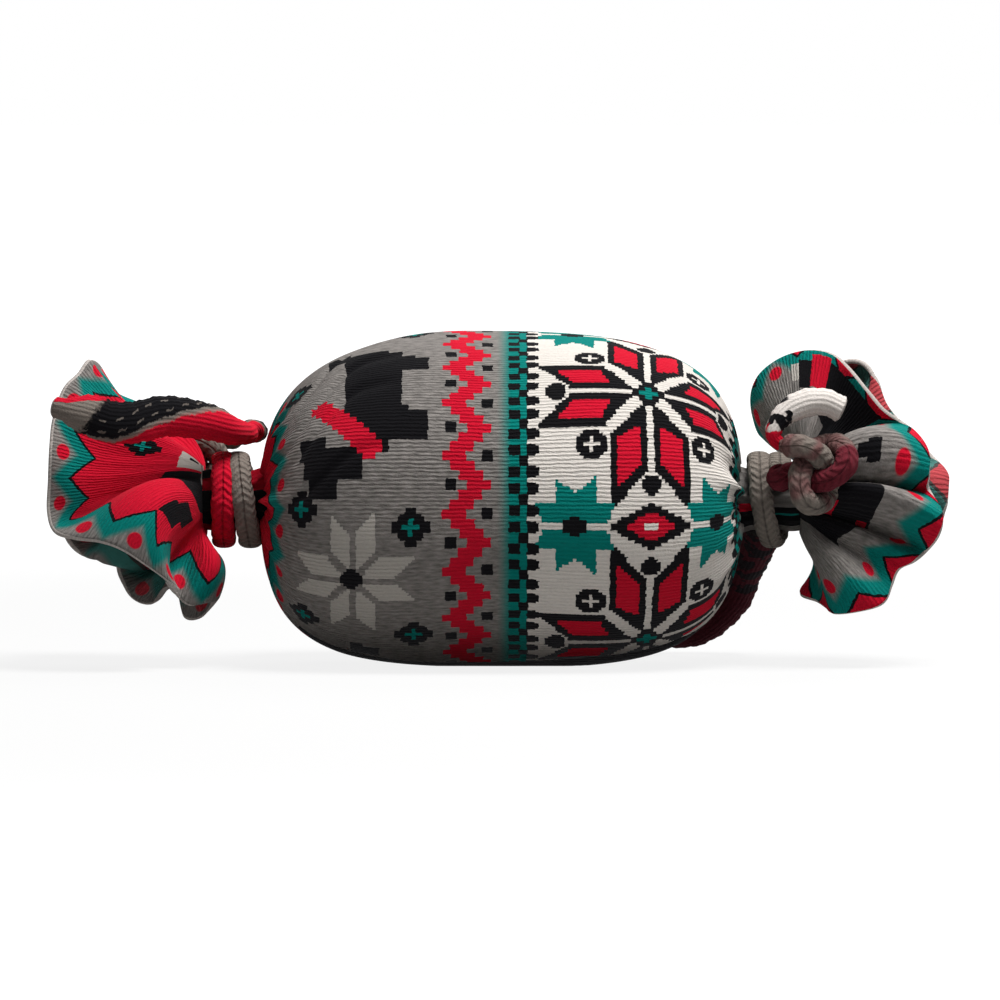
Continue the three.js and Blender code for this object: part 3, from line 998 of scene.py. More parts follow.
    def finish(self, wear: float = 0.0) -> bpy.types.Material:
        """Ends the cloth in its shader.

        Args:
            wear: how far the pattern has faded to grey, as on the cloth's reverse.

        Returns:
            The material.
        """
        normal, shade = self.knit.relief(self.graph, self.true_along, self.true_around)
        colour = self.graph.mix(self.colour, self.inks.heather, wear) if wear else self.colour
        self.graph.surface(self.graph.tinted(colour, shade), 0.92, normal)
        return self.graph.material


@dataclass(frozen=True)
class StripFinish:
    """A tie strip rolled to a cord: slanting rows of stitches, in two tones and sometimes blotched."""

    name: str
    tones: tuple[Colour, Colour]
    change: float
    blotch: float = 0.0
    pitch: float = 1.5
    slant: float = 2.6
    depth: float = 0.00026

    def material(self) -> bpy.types.Material:
        """Rows of V stitches: lines that slant one way and back again on each quarter of the strip's turn."""
        graph = Graph(self.name)
        along, around, _ = graph.split(graph.cloth())
        near, far = self.tones
        colour = graph.mix(near, far, along.ramp(self.change - 1.5, self.change + 1.5))
        if self.blotch:
            patch = graph.grain(along * 0.3, around * 2.0, 1.0)
            colour = graph.mix(colour, near, patch.ramp(0.42, 0.64) * self.blotch)
        fold = abs((around * 4.0).wrapped(1.0))
        bend = graph.grain(along * 0.5, around * 9.0)
        row = ((along + fold * self.slant + bend * 0.8) * (FULL_TURN / self.pitch)).wave()
        groove = fold.ramp(0.07, 0.0)
        nap = graph.grain(along * 2.2, around * 40.0, 4.0)
        # Painted shade: the colour is darker in the grooves where the strip folds and between its rows; the
        # nap varies the tone at random.
        shade = 0.72 + nap * 0.5 + row * 0.09 - groove * 0.3
        normal = graph.bump(row * 0.6 + nap * 1.4 - groove * 1.4, self.depth)
        graph.surface(graph.tinted(colour, shade), 0.94, normal)
        return graph.material


def flat_strip(graph: Graph, colour: Term, shade: float, nap_share: float) -> bpy.types.Material:
    """Ends a loose end's graph with ribs along the strip and a nap, which shade it and lift it.

    Args:
        graph: the material's graph.
        colour: the strip's colour.
        shade: the factor on the colour where the nap is 0.
        nap_share: how much the nap adds to that factor.

    Returns:
        The material.
    """
    depth = 0.00022
    along, across, _ = graph.split(graph.cloth())
    rib = (across * (FULL_TURN / RIB_PITCH)).wave()
    nap = graph.grain(along * 2.2, across * 3.0, 4.0)
    # The ribs paint shade into the colour; the nap varies its tone at random.
    factor = shade + nap * nap_share + rib * 0.05
    graph.surface(graph.tinted(colour, factor), 0.94, graph.bump(nap + rib * 0.3, depth))
    return graph.material


@dataclass(frozen=True)
class TwoToneStrip:
    """The left tie's loose end: red on one side of a line along it, black with pale stitches on the other."""

    name: str
    low: Colour
    high: Colour
    pale: Colour
    tip_start: float
    line: float = 3.2
    line_start: float = 33.0
    drift: float = 0.27
    tip_line: float = 5.6

    def material(self) -> bpy.types.Material:
        """The side of a line picks the tone, and pale stitches dot the dark one.

        Beyond line_start the line's place across is line - drift x (run - line_start), so that the dark
        side widens.
        """
        graph = Graph(self.name)
        along, across, _ = graph.split(graph.cloth())
        wobble = graph.grain(along * 0.12, 0.0) * 3.0 - 1.5
        fuzz = graph.grain(along * 1.4, across * 1.4, 3.0) - 0.5
        drifted = ((along - self.line_start) * self.drift).most(0.0)
        high = across + wobble + drifted - self.line
        colour = graph.mix(self.low, self.high, high > 0.0)
        for row, phase in ((1.9, 0.0), (4.3, 1.7)):
            dash = abs((along + across * 0.5).wrapped(3.4, phase)) < 0.75
            stitch = dash & (high + fuzz).close_to(row, 0.22) & (high > 0.0)
            colour = graph.mix(colour, self.pale, stitch * 0.6)
        between = abs(high + fuzz * 1.2).ramp(0.75, 0.35)
        colour = graph.mix(colour, self.pale, between * 0.85)
        tip = (along + fuzz * 3.0 + across * 0.4).ramp(self.tip_start, self.tip_start + 1.5)
        tip_colour = graph.mix(self.pale, self.low, high > self.tip_line + self.line)
        return flat_strip(graph, graph.mix(colour, tip_colour, tip), 0.66, 0.6)


@dataclass(frozen=True)
class BlotchedStrip:
    """A loose end cut across the print's motifs: one ink at its root, then blotches of two inks."""

    name: str
    root: Colour
    dark: Colour
    pale: Colour
    root_end: float
    tip_start: float

    def material(self) -> bpy.types.Material:
        """Noise in cells of about 3 mm parts the inks; the paler one takes over beyond the tip's start."""
        graph = Graph(self.name)
        along, across, _ = graph.split(graph.cloth())
        blot = graph.grain(along * 0.32, across * 0.26)
        colour = graph.mix(self.dark, self.pale, blot.ramp(0.49, 0.53))
        past_root = (along + blot * 5.0).ramp(self.root_end + 2.2, self.root_end + 2.8)
        colour = graph.mix(self.root, colour, past_root)
        at_tip = (along + blot * 8.0).ramp(self.tip_start + 3.6, self.tip_start + 4.4)
        return flat_strip(graph, graph.mix(colour, self.pale, at_tip), 0.7, 0.55)


@dataclass(frozen=True)
class PlainFibre:
    """Loose fibre or leaf: two colours mixed by noise, with a rough nap."""

    name: str
    pale: Colour
    dark: Colour
    scale: float
    depth: float

    def material(self) -> bpy.types.Material:
        """Noise at two scales mixes the colours and lifts the surface."""
        graph = Graph(self.name)
        place = graph.place()
        coarse = graph.noise(place, self.scale, 6.0)
        fine = graph.noise(place, self.scale * 5, 3.0)
        colour = graph.mix(self.pale, self.dark, (coarse * 0.7 + fine * 0.3).ramp(0.35, 0.65))
        graph.surface(colour, 0.95, graph.bump(coarse + fine * 0.5, self.depth))
        return graph.material


def cut_edge(inks: Inks) -> bpy.types.Material:
    """The raw edge of the cloth: pale fibre ends with a ragged nap."""
    graph = Graph("raw_cut_edge")
    along, around, _ = graph.split(graph.cloth())
    nap = graph.grain(along * 2.0, around * 2.0, 4.0)
    colour = graph.tinted(inks.seam, 0.5 + nap * 0.9)
    graph.surface(colour, 0.95, graph.bump(nap, 0.0003))
    return graph.material


# The stage


@dataclass(frozen=True)
class Stage:
    """Camera, light and floor: a plain pale studio seen from straight in front."""

    picture_width: float = 228.0
    middle: tuple[float, float, float] = (-0.34, 0.0, 37.6)
    distance: float = 2200.0
    elevation: float = 3.0
    sensor: float = 36.0
    floor_reach: float = 9000.0
    floor_colour: Colour = (0.36, 0.358, 0.355)
    floor_glow: float = 1.22
    least_glow_share: float = 0.7
    shadow_area: tuple[float, float] = (0.02, 0.5)
    sky_colour: Colour = (0.96, 0.98, 1.0)
    sky_strength: float = 0.07

    def build(self) -> None:
        """Makes the camera first, then the floor and the light."""
        self.camera()
        self.floor()
        self.sky()
        self.lamp("key_lamp", (220, -170, 760), 340, 8.0)
        self.lamp("front_lamp", (-260, -760, 420), 420, 0.3)
        self.lamp("back_lamp", (260, 520, 520), 420, 2.0)

    def aimed(self, name: str, data: bpy.types.ID, place: Vector) -> bpy.types.Object:
        """Puts a camera or a lamp at a place, in millimetres, where it looks at the toy's middle."""
        thing = bpy.data.objects.new(name, data)
        thing.location = place * MM
        towards = Vector(self.middle) - place
        thing.rotation_euler = towards.to_track_quat("-Z", "Y").to_euler()
        bpy.context.scene.collection.objects.link(thing)
        return thing

    def camera(self) -> None:
        """A long lens far off, so that the picture is nearly without perspective."""
        data = bpy.data.cameras.new("camera")
        data.sensor_width = self.sensor
        data.lens = self.sensor * self.distance / self.picture_width
        data.clip_end = 10 * self.distance * MM
        angle = math.radians(self.elevation)
        offset = Vector((0, -math.cos(angle), math.sin(angle))) * self.distance
        bpy.context.scene.camera = self.aimed("camera", data, Vector(self.middle) + offset)

    def lamp(self, name: str, place: Sequence[float], size: float, power: float) -> None:
        """A soft square lamp that looks at the toy's middle. Its size is in millimetres."""
        data = bpy.data.lights.new(name, "AREA")
        data.size = size * MM
        data.energy = power
        self.aimed(name, data, Vector(place))

    def floor(self) -> None:
        """A wide pale floor, which keeps the toy's shadow near it and is white further off."""
        edge = np.linspace(-self.floor_reach, self.floor_reach, 5)
        points = stacked(edge[None, :], edge[:, None], 0.0)
        parts = MeshParts()
        parts.add(Grid(points, points[..., :2]), Side.PRINT)
        graph = Graph("pale_floor")
        x, y, _ = graph.split(graph.place())
        far = (x * x + y * y).ramp(*self.shadow_area)
        diffuse = graph.node("ShaderNodeBsdfDiffuse", {}, {"Color": self.floor_colour})
        white = graph.node("ShaderNodeEmission", {}, {"Color": WHITE, "Strength": self.floor_glow})
        share = graph.looked_at() * (self.least_glow_share + far * (1 - self.least_glow_share))
        lit = graph.node("ShaderNodeMixShader", {}, {0: share, 1: diffuse, 2: white})
        graph.node_output(lit)
        floor = parts.build("studio_floor", [graph.material])

    def sky(self) -> None:
        """A white background for what looks at it, and an even pale light for the rest."""
        world = bpy.data.worlds.new("studio")
        bpy.context.scene.world = world
        graph = Graph("studio", world)
        pale = {"Color": self.sky_colour, "Strength": self.sky_strength}
        light = graph.node("ShaderNodeBackground", {}, pale)
        white = graph.node("ShaderNodeBackground", {}, {"Color": WHITE, "Strength": 1.0})
        mixed = graph.node("ShaderNodeMixShader", {}, {0: graph.looked_at(), 1: light, 2: white})
        graph.node_output(mixed, "ShaderNodeOutputWorld")


# The toy


@dataclass
class Finishes:
    """Every material of the toy, made once."""

    inks: Inks = field(default_factory=Inks)
    knit: Knit = field(default_factory=Knit)
    cover_zigzag: float = -60.5
    left_zigzag: float = -124.6
    right_zigzag: float = 131.6

    def __post_init__(self) -> None:
        """Makes the materials."""
        self.cover = self.cover_print()
        self.left = self.left_print("ruffle_print_left", 0.0)
        self.left_reverse = self.left_print("ruffle_reverse_left", 0.22)
        self.right = self.right_print("ruffle_print_right", 0.0)
        self.right_reverse = self.right_print("ruffle_reverse_right", 0.3)
        self.inside = PrintedCloth("cloth_reverse", self.inks, self.knit).finish()
        self.cut = cut_edge(self.inks)
        red, black = self.inks.red, self.inks.black
        grey, rosy, pale = linear(128, 119, 111), linear(104, 36, 46), linear(226, 218, 211)
        # Inks of the long loose end, which hangs behind the body: the print's heather and red darkened as
        # painted shade, and a near black.
        shaded_heather, dark, shaded_red = linear(44, 38, 38), linear(26, 20, 23), linear(74, 28, 36)
        self.left_winding = StripFinish("left_tie_strip", (grey, red), 46.0).material()
        self.grey_strip = StripFinish("grey_tie_strip", (grey, grey), 0.0).material()
        self.knot_strip = StripFinish("knot_tie_strip", (rosy, grey), 26.0, blotch=0.6).material()
        # The long loose end's strip, in painted shade.
        self.shaded_long_strip = BlotchedStrip("shaded_tie_strip", shaded_heather, dark, shaded_red, 8.0, 30.0).material()
        self.short_strip = BlotchedStrip("short_tie_strip", red, black, pale, 5.0, 11.0).material()
        self.left_strip = TwoToneStrip("left_loose_strip", red, black, grey, 65.0).material()
        cream, cloud = linear(242, 240, 235), linear(214, 210, 204)
        sage, olive = linear(132, 138, 84), linear(84, 88, 46)
        self.fibre = PlainFibre("fibre_fill", cream, cloud, 90.0, 0.0006).material()
        self.leaf = PlainFibre("dried_leaf", sage, olive, 260.0, 0.001).material()

    def cover_print(self) -> bpy.types.Material:
        """The cloth of the stuffed body, from its left end to its right."""
        cloth = PrintedCloth("cover_print", self.inks, self.knit)
        cloth.snowflake(-34.0, -18.4, MOTIF_PERIOD)
        for along, around in ((-20.4, -6.2), (-46.8, -2.4), (-46.3, -33.0), (-19.8, -35.4)):
            cloth.small_diamond(along, around, MOTIF_PERIOD)
        cloth.small_diamond(-49.5, 39.5, ONCE_ROUND)
        cloth.terrier(-16.8, 46.0, MOTIF_PERIOD, self.inks.black, self.inks.red)
        cloth.red_zigzag()
        cloth.star_ground()
        cloth.star_band()
        far_side = 2 * cloth.star_axis
        cloth.border(cloth.frayed_along, cloth.true_along)
        cloth.border(far_side - cloth.frayed_along, far_side - cloth.true_along)
        cloth.patches(COVER_PATCHES, 1)
        zigzag = self.cover_zigzag
        cloth.dotted_edge(zigzag - cloth.frayed_along, zigzag - cloth.true_along, 4.2)
        return cloth.finish()

    def left_print(self, name: str, wear: float) -> bpy.types.Material:
        """The left ruffle's cloth: red with motifs, a teal zigzag, then grey with red dots at the edge."""
        cloth = PrintedCloth(name, self.inks, self.knit)
        zigzag = self.left_zigzag
        cloth.dotted_edge(cloth.frayed_along - zigzag, cloth.true_along - zigzag)
        cloth.patches(LEFT_PATCHES, -1)
        cloth.small_diamond(-111.0, 19.0, ONCE_ROUND)
        return cloth.finish(wear)

    def right_print(self, name: str, wear: float) -> bpy.types.Material:
        """The right ruffle's cloth: grey with motifs, red dots, a teal zigzag, then red at the edge.

        The cloth was cut a little aslant, so the zigzag lies nearer the edge at its first stretch.
        """
        cloth = PrintedCloth(name, self.inks, self.knit)
        cloth.patches(RIGHT_PATCHES, 1)
        zigzag = cloth.true_around.ramp(58.0, 30.0) * 3.2 + self.right_zigzag
        cloth.dotted_edge(cloth.frayed_along - zigzag, cloth.true_along - zigzag)
        cloth.patches(RIGHT_TOP_PATCHES, 1)
        return cloth.finish(wear)


@dataclass
class Barrel:
    """The stuffed body's outside: a superellipse turned round the X axis, fuller low down than on top.

    The radius at x is R (1 - |x / a|^n)^(1 / n), and n depends on the end and on the angle round the axis.
    """

    reach: float = 55.5
    radius: float = 38.2
    axis_height: float = AXIS_HEIGHT
    hole_radius: float = 7.9
    left_fullness: float = 2.92
    right_fullness: float = 2.97
    lean: float = 0.28
    right_lean: float = 0.08

    def fullness(self, meridian: np.ndarray, around: np.ndarray) -> np.ndarray:
        """The exponent n at a meridian angle and an angle round the axis."""
        left = self.left_fullness - self.lean * np.sin(around)
        right = self.right_fullness - self.right_lean * np.sin(around)
        share = smoothstep(0.42 * math.pi, 0.58 * math.pi, meridian)
        return right + (left - right) * share

    def points(self, meridian: np.ndarray, around: np.ndarray, depth: np.ndarray | float) -> np.ndarray:
        """Points of the barrel, sunk by a depth.

        x = a sign(cos m) |cos m|^(2 / n) and r = R |sin m|^(2 / n), each moved inwards along the normal.

        Args:
            meridian: 0 at the right end, pi at the left.
            around: 0 faces the viewer, a quarter turn is the top.
            depth: how far below the outside.

        Returns:
            The points, with the axis at its height.
        """
        power = 2 / self.fullness(meridian, around)
        along_share = np.sign(np.cos(meridian)) * np.abs(np.cos(meridian)) ** power
        radius_share = np.sin(meridian) ** power
        slope_along = np.sign(along_share) * np.abs(along_share) ** (2 / power - 1) / self.reach
        slope_out = radius_share ** (2 / power - 1) / self.radius
        steepness = np.hypot(slope_along, slope_out)
        x = self.reach * along_share - depth * slope_along / steepness
        radius = self.radius * radius_share - depth * slope_out / steepness
        radius = np.maximum(radius, 0.0)
        return self.placed(x, radius, around)

    def placed(self, x: np.ndarray, radius: np.ndarray, around: np.ndarray) -> np.ndarray:
        """Points at a place along the axis, a distance from it and an angle round it."""
        y = -radius * np.cos(around)
        z = self.axis_height + radius * np.sin(around)
        return stacked(x, y, z)


@dataclass
class StuffedBody:
    """The rolled and stuffed middle of the toy: its cloth, two wads of fibre and the dried leaf."""

    barrel: Barrel = field(default_factory=Barrel)
    cloth_thickness: float = CLOTH_THICKNESS
    lap_gap: float = 0.3
    free_edge: float = math.radians(-71)
    lap: float = math.radians(24)
    dip_start: float = math.radians(348)
    dip_end: float = math.radians(358)
    rows: int = 132
    columns: int = 250
    crease_depth: float = 1.5
    crease_shares: tuple[float, float] = (0.93, 0.35)
    lump_height: float = 0.55
    throat: float = 5.0
    long_creases: tuple[tuple[float, float], ...] = ((14.0, 50.0), (26.0, 66.0), (-4.0, 22.0), (44.0, 84.0))
    long_crease_depth: float = 0.9
    long_crease_width: float = math.radians(2.4)
    sight: float = math.radians(3)
    leaf_size: tuple[float, float] = (10.6, 17.6)
    leaf_gap: float = 0.7
    wad_gap: float = 0.25

    def build(self, finishes: Finishes) -> None:
        """Makes and dresses the four pieces."""
        cover = self.cover(finishes)
        wads = [self.wad(side, finishes) for side in (-1, 1)]
        leaf = self.leaf(finishes)
        for piece in (cover, *wads, leaf):
            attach(piece, "cover")

    def meridians(self) -> np.ndarray:
        """Meridian angles from the left hole to the right one, closer together towards the ends."""
        crowding, open_end = 0.28, 0.02
        even = np.linspace(-1, 1, self.rows)
        eased = even * (1 - crowding) + crowding * np.sin(even * math.pi / 2)
        return math.pi / 2 - eased * (math.pi / 2 - open_end)

    def dip(self, turn: np.ndarray) -> np.ndarray:
        """How far the inner layer has sunk at a turn from the free edge."""
        return (self.cloth_thickness + self.lap_gap) * smoothstep(self.dip_start, self.dip_end, turn)

    def layer(self, depth: float) -> Grid:
        """One face of the rolled cloth.

        Args:
            depth: how far below the outer face it lies.

        Returns:
            The grid, from the left end to the right, and from the free edge round to the inner one.
        """
        meridian = self.meridians()[:, None]
        turn = np.linspace(0, FULL_TURN + self.lap, self.columns)[None, :]
        around = self.free_edge + turn
        points = self.barrel.points(meridian, around, self.dip(turn) + depth)
        points = self.creased(points, around)
        points = self.throated(points, around)
        points[..., 2] = np.maximum(points[..., 2], depth)
        return Grid(points, self.places(points, around))

    def creased(self, points: np.ndarray, around: np.ndarray) -> np.ndarray:
        """Gathers at the ends and soft lumps between: points move along their distance from the axis."""
        centre = np.array([0.0, 0.0, self.barrel.axis_height])
        offset = points - centre
        radius = np.hypot(offset[..., 1], offset[..., 2])
        first, full = (share * self.barrel.radius for share in self.crease_shares)
        end = smoothstep(first, full, radius)
        waves = folds(around, (9, 14, 21), 4) * np.ones_like(radius)
        other = folds(around, (8, 13, 19), 9) * np.ones_like(radius)
        fold = np.where(offset[..., 0] < 0, waves, other)
        rounds = self.lump_height * soft_noise(radius.shape, (9, 16), 3) * (1 - end)
        along = np.sign(offset[..., 0]) * end * (fold - 0.6) * self.crease_depth
        rounds = rounds - self.pulled_lines(offset[..., 0], around)
        grown = (radius + rounds) / np.maximum(radius, 1e-6)
        offset[..., 1:] *= grown[..., None]
        offset[..., 0] += along
        return offset + centre

    def pulled_lines(self, along: np.ndarray, around: np.ndarray) -> np.ndarray:
        """How deep the long creases are that run from the left neck over the top of the front.

        Each is a valley of the form exp(-(a / width)^2) about a line whose angle turns from its first value
        at the neck to its second one further in.

        Args:
            along: millimetres along the toy.
            around: angles round it.

        Returns:
            The depth at each place.
        """
        faded, full, neck, inner = -18, -34, -54, -30
        depth = np.zeros(np.broadcast_shapes(along.shape, around.shape))
        fade = smoothstep(faded, full, along) * self.long_crease_depth
        for first, last in self.long_creases:
            line = math.radians(first) + math.radians(last - first) * smoothstep(neck, inner, along)
            depth += fade * np.exp(-(((around - line) / self.long_crease_width) ** 2))
        return depth

    def throated(self, points: np.ndarray, around: np.ndarray) -> np.ndarray:
        """Rows that would close the end run back into the toy instead, along the neck."""
        centre = self.barrel.axis_height
        radius = np.hypot(points[..., 1], points[..., 2] - centre)
        hole = self.barrel.hole_radius
        inside = np.maximum(hole - radius, 0.0)
        kept = np.maximum(radius, hole)
        back = np.sign(points[..., 0]) * inside * self.throat / hole
        placed = self.barrel.placed(points[..., 0] - back, kept, around)
        return np.where((inside > 0)[..., None], placed, points)

    def places(self, points: np.ndarray, around: np.ndarray) -> np.ndarray:
        """Where points lie on the flat cloth.

        Along the toy it is the distance run from the middle row, less where the front is pulled towards the
        right neck. Round it, it is R times the angle, crowded a little over the crown, and drawn together
        towards the ends, where the cloth was gathered: R (stretch a + crown - gather sin a), where the
        gather at u millimetres along is 0.115 (|u| / 30)^1.5.
        """
        stretch, crown_extra, gathered, pulled_most = 1.03, 0.13, 0.115, 2.4
        run = run_along(points)
        middle = (points.shape[0] - 1) / 2
        halfway = (run[int(math.floor(middle))] + run[int(math.ceil(middle))]) / 2
        along = run - halfway
        seen = around - self.sight
        gather = gathered * (np.abs(along) / 30) ** 1.5
        crown = crown_extra * smoothstep(math.radians(30), math.radians(75), seen)
        round_it = self.barrel.radius * (stretch * seen + crown - gather * np.sin(seen))
        front = np.maximum(np.cos(seen), 0.0) ** 3
        pulled = pulled_most * (np.maximum(along, 0.0) / 50) ** 2 * front
        return stacked(along - pulled, round_it)

    def cover(self, finishes: Finishes) -> bpy.types.Object:
        """The rolled cloth, with its lap low on the front."""
        outer = self.layer(0.0)
        inner = self.layer(self.cloth_thickness)
        piece = thick_cloth("cover_cloth", outer, inner, (finishes.cover, finishes.inside, finishes.cut))
        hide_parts("cover_barrel")
        return piece

    def wad(self, side: int, finishes: Finishes) -> bpy.types.Object:
        """One wad of fibre: half the barrel's inside, lumpy, with room for the leaf at its flat end.

        Args:
            side: -1 for the left wad and 1 for the right.
            finishes: the materials.

        Returns:
            The new object.
        """
        rows, columns, face_rows = 44, 96, 14
        lump, lump_room = 0.5, 0.6
        meridian = np.linspace(0.06, math.pi / 2, rows)[:, None]
        around = np.linspace(0, FULL_TURN, columns, endpoint=False)[None, :]
        depth = 2 * self.cloth_thickness + 3 * self.lap_gap
        lumps = lump * soft_noise((rows, columns), (8, 14), 11 + side)
        points = self.barrel.points(meridian, around, depth + lump_room - lumps)
        wall = points[-1:]
        share = np.linspace(0.92, 0.0, face_rows)[:, None, None]
        centre = np.array([0.0, 0.0, self.barrel.axis_height])
        face = centre + (wall - centre) * share
        flat_radius = np.hypot(face[..., 1], face[..., 2] - self.barrel.axis_height)
        room_along, room_across = (size + self.leaf_gap for size in self.leaf_size)
        hollow = np.sqrt(np.maximum(1 - (flat_radius / room_across) ** 2, 0.0))
        face[..., 0] = hollow * room_along
        points = np.concatenate([points, face], axis=0)
        points[..., 0] = side * (points[..., 0] + self.wad_gap)
        points[..., 2] = np.maximum(points[..., 2], depth)
        cloth = np.zeros((points.shape[0], points.shape[1] + 1, 2))
        name = "left" if side < 0 else "right"
        piece = skin(f"{name}_fibre_wad", points, cloth, finishes.fibre, 1e-6)
        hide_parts(f"filling_{name}_wad")
        return piece

    def leaf(self, finishes: Finishes) -> bpy.types.Object:
        """The dried leaf: a heap of crumbled leaf pressed to a lens between the wads.

        A ball whose radius varies with soft noise at two scales, flattened along the toy.
        """
        rows, columns, pole = 60, 90, 0.02
        polar = np.linspace(pole, math.pi - pole, rows)[:, None]
        around = np.linspace(0, FULL_TURN, columns, endpoint=False)[None, :]
        noise = soft_noise((rows, columns), (14, 22), 5) + soft_noise((rows, columns), (28, 44), 6)
        radius = 1 + 0.022 * noise * np.sin(polar)
        x = self.leaf_size[0] * radius * np.cos(polar)
        across = self.leaf_size[1] * radius * np.sin(polar)
        points = self.barrel.placed(x, across, around)
        piece = skin("dried_leaf_heap", points, np.zeros((rows, columns + 1, 2)), finishes.leaf)
        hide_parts("catnip")
        return piece


@dataclass
class End:
    """One end of the toy, whose places are given as out, front and up from the neck's outer centre."""

    side: int
    neck_tip: float = 65.794
    axis_height: float = AXIS_HEIGHT

    @property
    def name(self) -> str:
        """left or right."""
        return "left" if self.side < 0 else "right"

    def world(self, places: np.ndarray) -> np.ndarray:
        """Turns [out, front, up] into the toy's own x, y and z."""
        out, front, up = (places[..., axis] for axis in range(3))
        return stacked(self.side * (self.neck_tip + out), -front, self.axis_height + up)

    def tied(self, places: np.ndarray) -> np.ndarray:
        """Places of the right tie at this end: the left tie is the right one turned half round."""
        origin = np.array([self.side * self.neck_tip, 0.0, self.axis_height])
        turn = np.array([self.side, self.side, 1.0])
        return origin + places * turn

    def bend(self, piece: bpy.types.Object, inner: str, outer: str, bending: tuple[float, float]) -> None:
        """Bakes a piece's transform into its mesh."""
        start, end = (tuple(self.world(np.array([out, 0.0, 0.0])) * MM) for out in bending)
        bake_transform(piece)


@dataclass
class Neck:
    """The gathered neck: a pleated stem under the tie, which swells to a puckered dome in the ruffle."""

    end: End
    stem_radius: float = 6.5
    root_radius: float = 7.4
    tip_radius: float = 6.9
    root_out: float = -14.5
    pleats: tuple[int, ...] = (13, 21)
    pleat_depth: float = 0.55
    bending: tuple[float, float] = (-14.0, -7.5)
    print_start: float = 74.0
    print_run: float = 20.0
    print_width: float = 240.0
    rows: int = 56
    columns: int = 180

    def build(self, finishes: Finishes) -> bpy.types.Object:
        """A surface of revolution with pleats: radius r(x) + depth x folds, closed to a point at the dome."""
        run = np.linspace(0, 1, self.rows)
        out = self.root_out + (self.tip_radius - self.root_out) * run
        stem = self.stem_radius + (self.root_radius - self.stem_radius) * smoothstep(-8, -12, out)
        dome = np.sqrt(np.maximum(self.tip_radius**2 - out**2, 0.0))
        swell = (self.tip_radius - self.stem_radius) * smoothstep(-3, 0, out)
        radius = np.where(out > 0, dome, stem + swell)
        around = np.linspace(0, FULL_TURN, self.columns, endpoint=False)
        fold = folds(around, self.pleats, 21 + self.end.side)[None, :]
        deep = self.pleat_depth * (1 + 1.6 * smoothstep(0, self.tip_radius, out))[:, None]
        grown = radius[:, None] + fold * deep * smoothstep(0, 2.5, radius)[:, None]
        grown = np.maximum(grown, 0.02)
        points = self.end.world(stacked(out[:, None], grown * np.cos(around), grown * np.sin(around)))
        along = self.end.side * (self.print_start + self.print_run * run)
        place = np.linspace(0, self.print_width, self.columns + 1)
        cloth = stacked(along[:, None], place[None, :])
        finish = finishes.left if self.end.side < 0 else finishes.right
        piece = skin(f"{self.end.name}_gathered_neck", points, cloth, finish)
        self.end.bend(piece, "cover", f"{self.end.name}_neck", self.bending)
        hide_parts(f"{self.end.name}_neck")
        return piece


Places = Sequence[tuple[float, float, float]]
Folds = Sequence[tuple[float, float, float, float, float, float]]

# Folds of the ruffles, in shares of their reach: each fold's place on the rim as out, front and up, and how
# far the cloth bellies out, to the front and up halfway between the neck and the rim.

LEFT_FOLDS: Folds = (
    (0.70, 0.02, 0.79, 0.04, -0.04, -0.04),
    (0.76, 0.12, 0.715, 0.03, -0.02, -0.05),
    (0.835, 0.22, 0.635, 0.0, -0.02, 0.0),
    (0.89, 0.30, 0.47, 0.0, -0.04, -0.02),
    (0.906, 0.37, 0.31, 0.0, -0.08, -0.03),
    (0.911, 0.43, 0.14, 0.0, -0.1, -0.02),
    (0.914, 0.50, -0.04, 0.0, -0.14, 0.0),
    (0.872, 0.58, -0.15, 0.0, -0.12, 0.05),
    (0.746, 0.66, -0.185, 0.0, 0.04, 0.15),
    (0.615, 0.73, -0.195, 0.0, 0.1, 0.17),
    (0.49, 0.76, -0.235, 0.0, 0.14, 0.14),
    (0.36, 0.74, -0.32, 0.04, 0.17, 0.10),
    (0.26, 0.69, -0.40, 0.08, 0.18, 0.06),
    (0.185, 0.60, -0.48, 0.11, 0.1, 0.01),
    (0.24, 0.47, -0.44, 0.08, -0.04, -0.02),
    (0.2, 0.38, -0.51, 0.0, -0.02, 0.0),
    (0.12, 0.40, -0.57, -0.06, 0.1, 0.04),
    (0.03, 0.34, -0.56, -0.08, 0.14, 0.04),
    (-0.01, 0.20, -0.56, -0.08, 0.08, 0.02),
    (-0.02, 0.05, -0.56, -0.07, -0.02, 0.02),
    (0.06, 0.04, -0.66, -0.03, -0.03, 0.0),
    (0.16, 0.06, -0.66, 0.0, 0.0, 0.0),
    (0.2, 0.0, -0.52, 0.0, 0.0, 0.0),
    (0.27, -0.12, -0.515, 0.0, 0.0, 0.0),
    (0.35, -0.18, -0.60, 0.0, 0.0, 0.0),
    (0.46, -0.24, -0.575, 0.0, 0.0, -0.02),
    (0.54, -0.30, -0.455, 0.0, 0.0, -0.02),
    (0.58, -0.28, -0.30, 0.0, 0.0, 0.0),
    (0.67, -0.25, -0.345, 0.0, 0.0, 0.0),
    (0.78, -0.30, -0.315, 0.0, 0.0, 0.0),
    (0.86, -0.36, -0.20, 0.0, -0.02, 0.0),
    (0.82, -0.47, -0.05, 0.0, -0.04, 0.0),
    (0.76, -0.56, 0.08, 0.0, -0.06, 0.0),
    (0.73, -0.58, 0.24, 0.0, -0.06, 0.0),
    (0.71, -0.48, 0.42, 0.0, -0.06, 0.0),
    (0.64, -0.3, 0.58, 0.03, -0.06, -0.04),
    (0.64, -0.14, 0.72, 0.04, -0.06, -0.05),
)

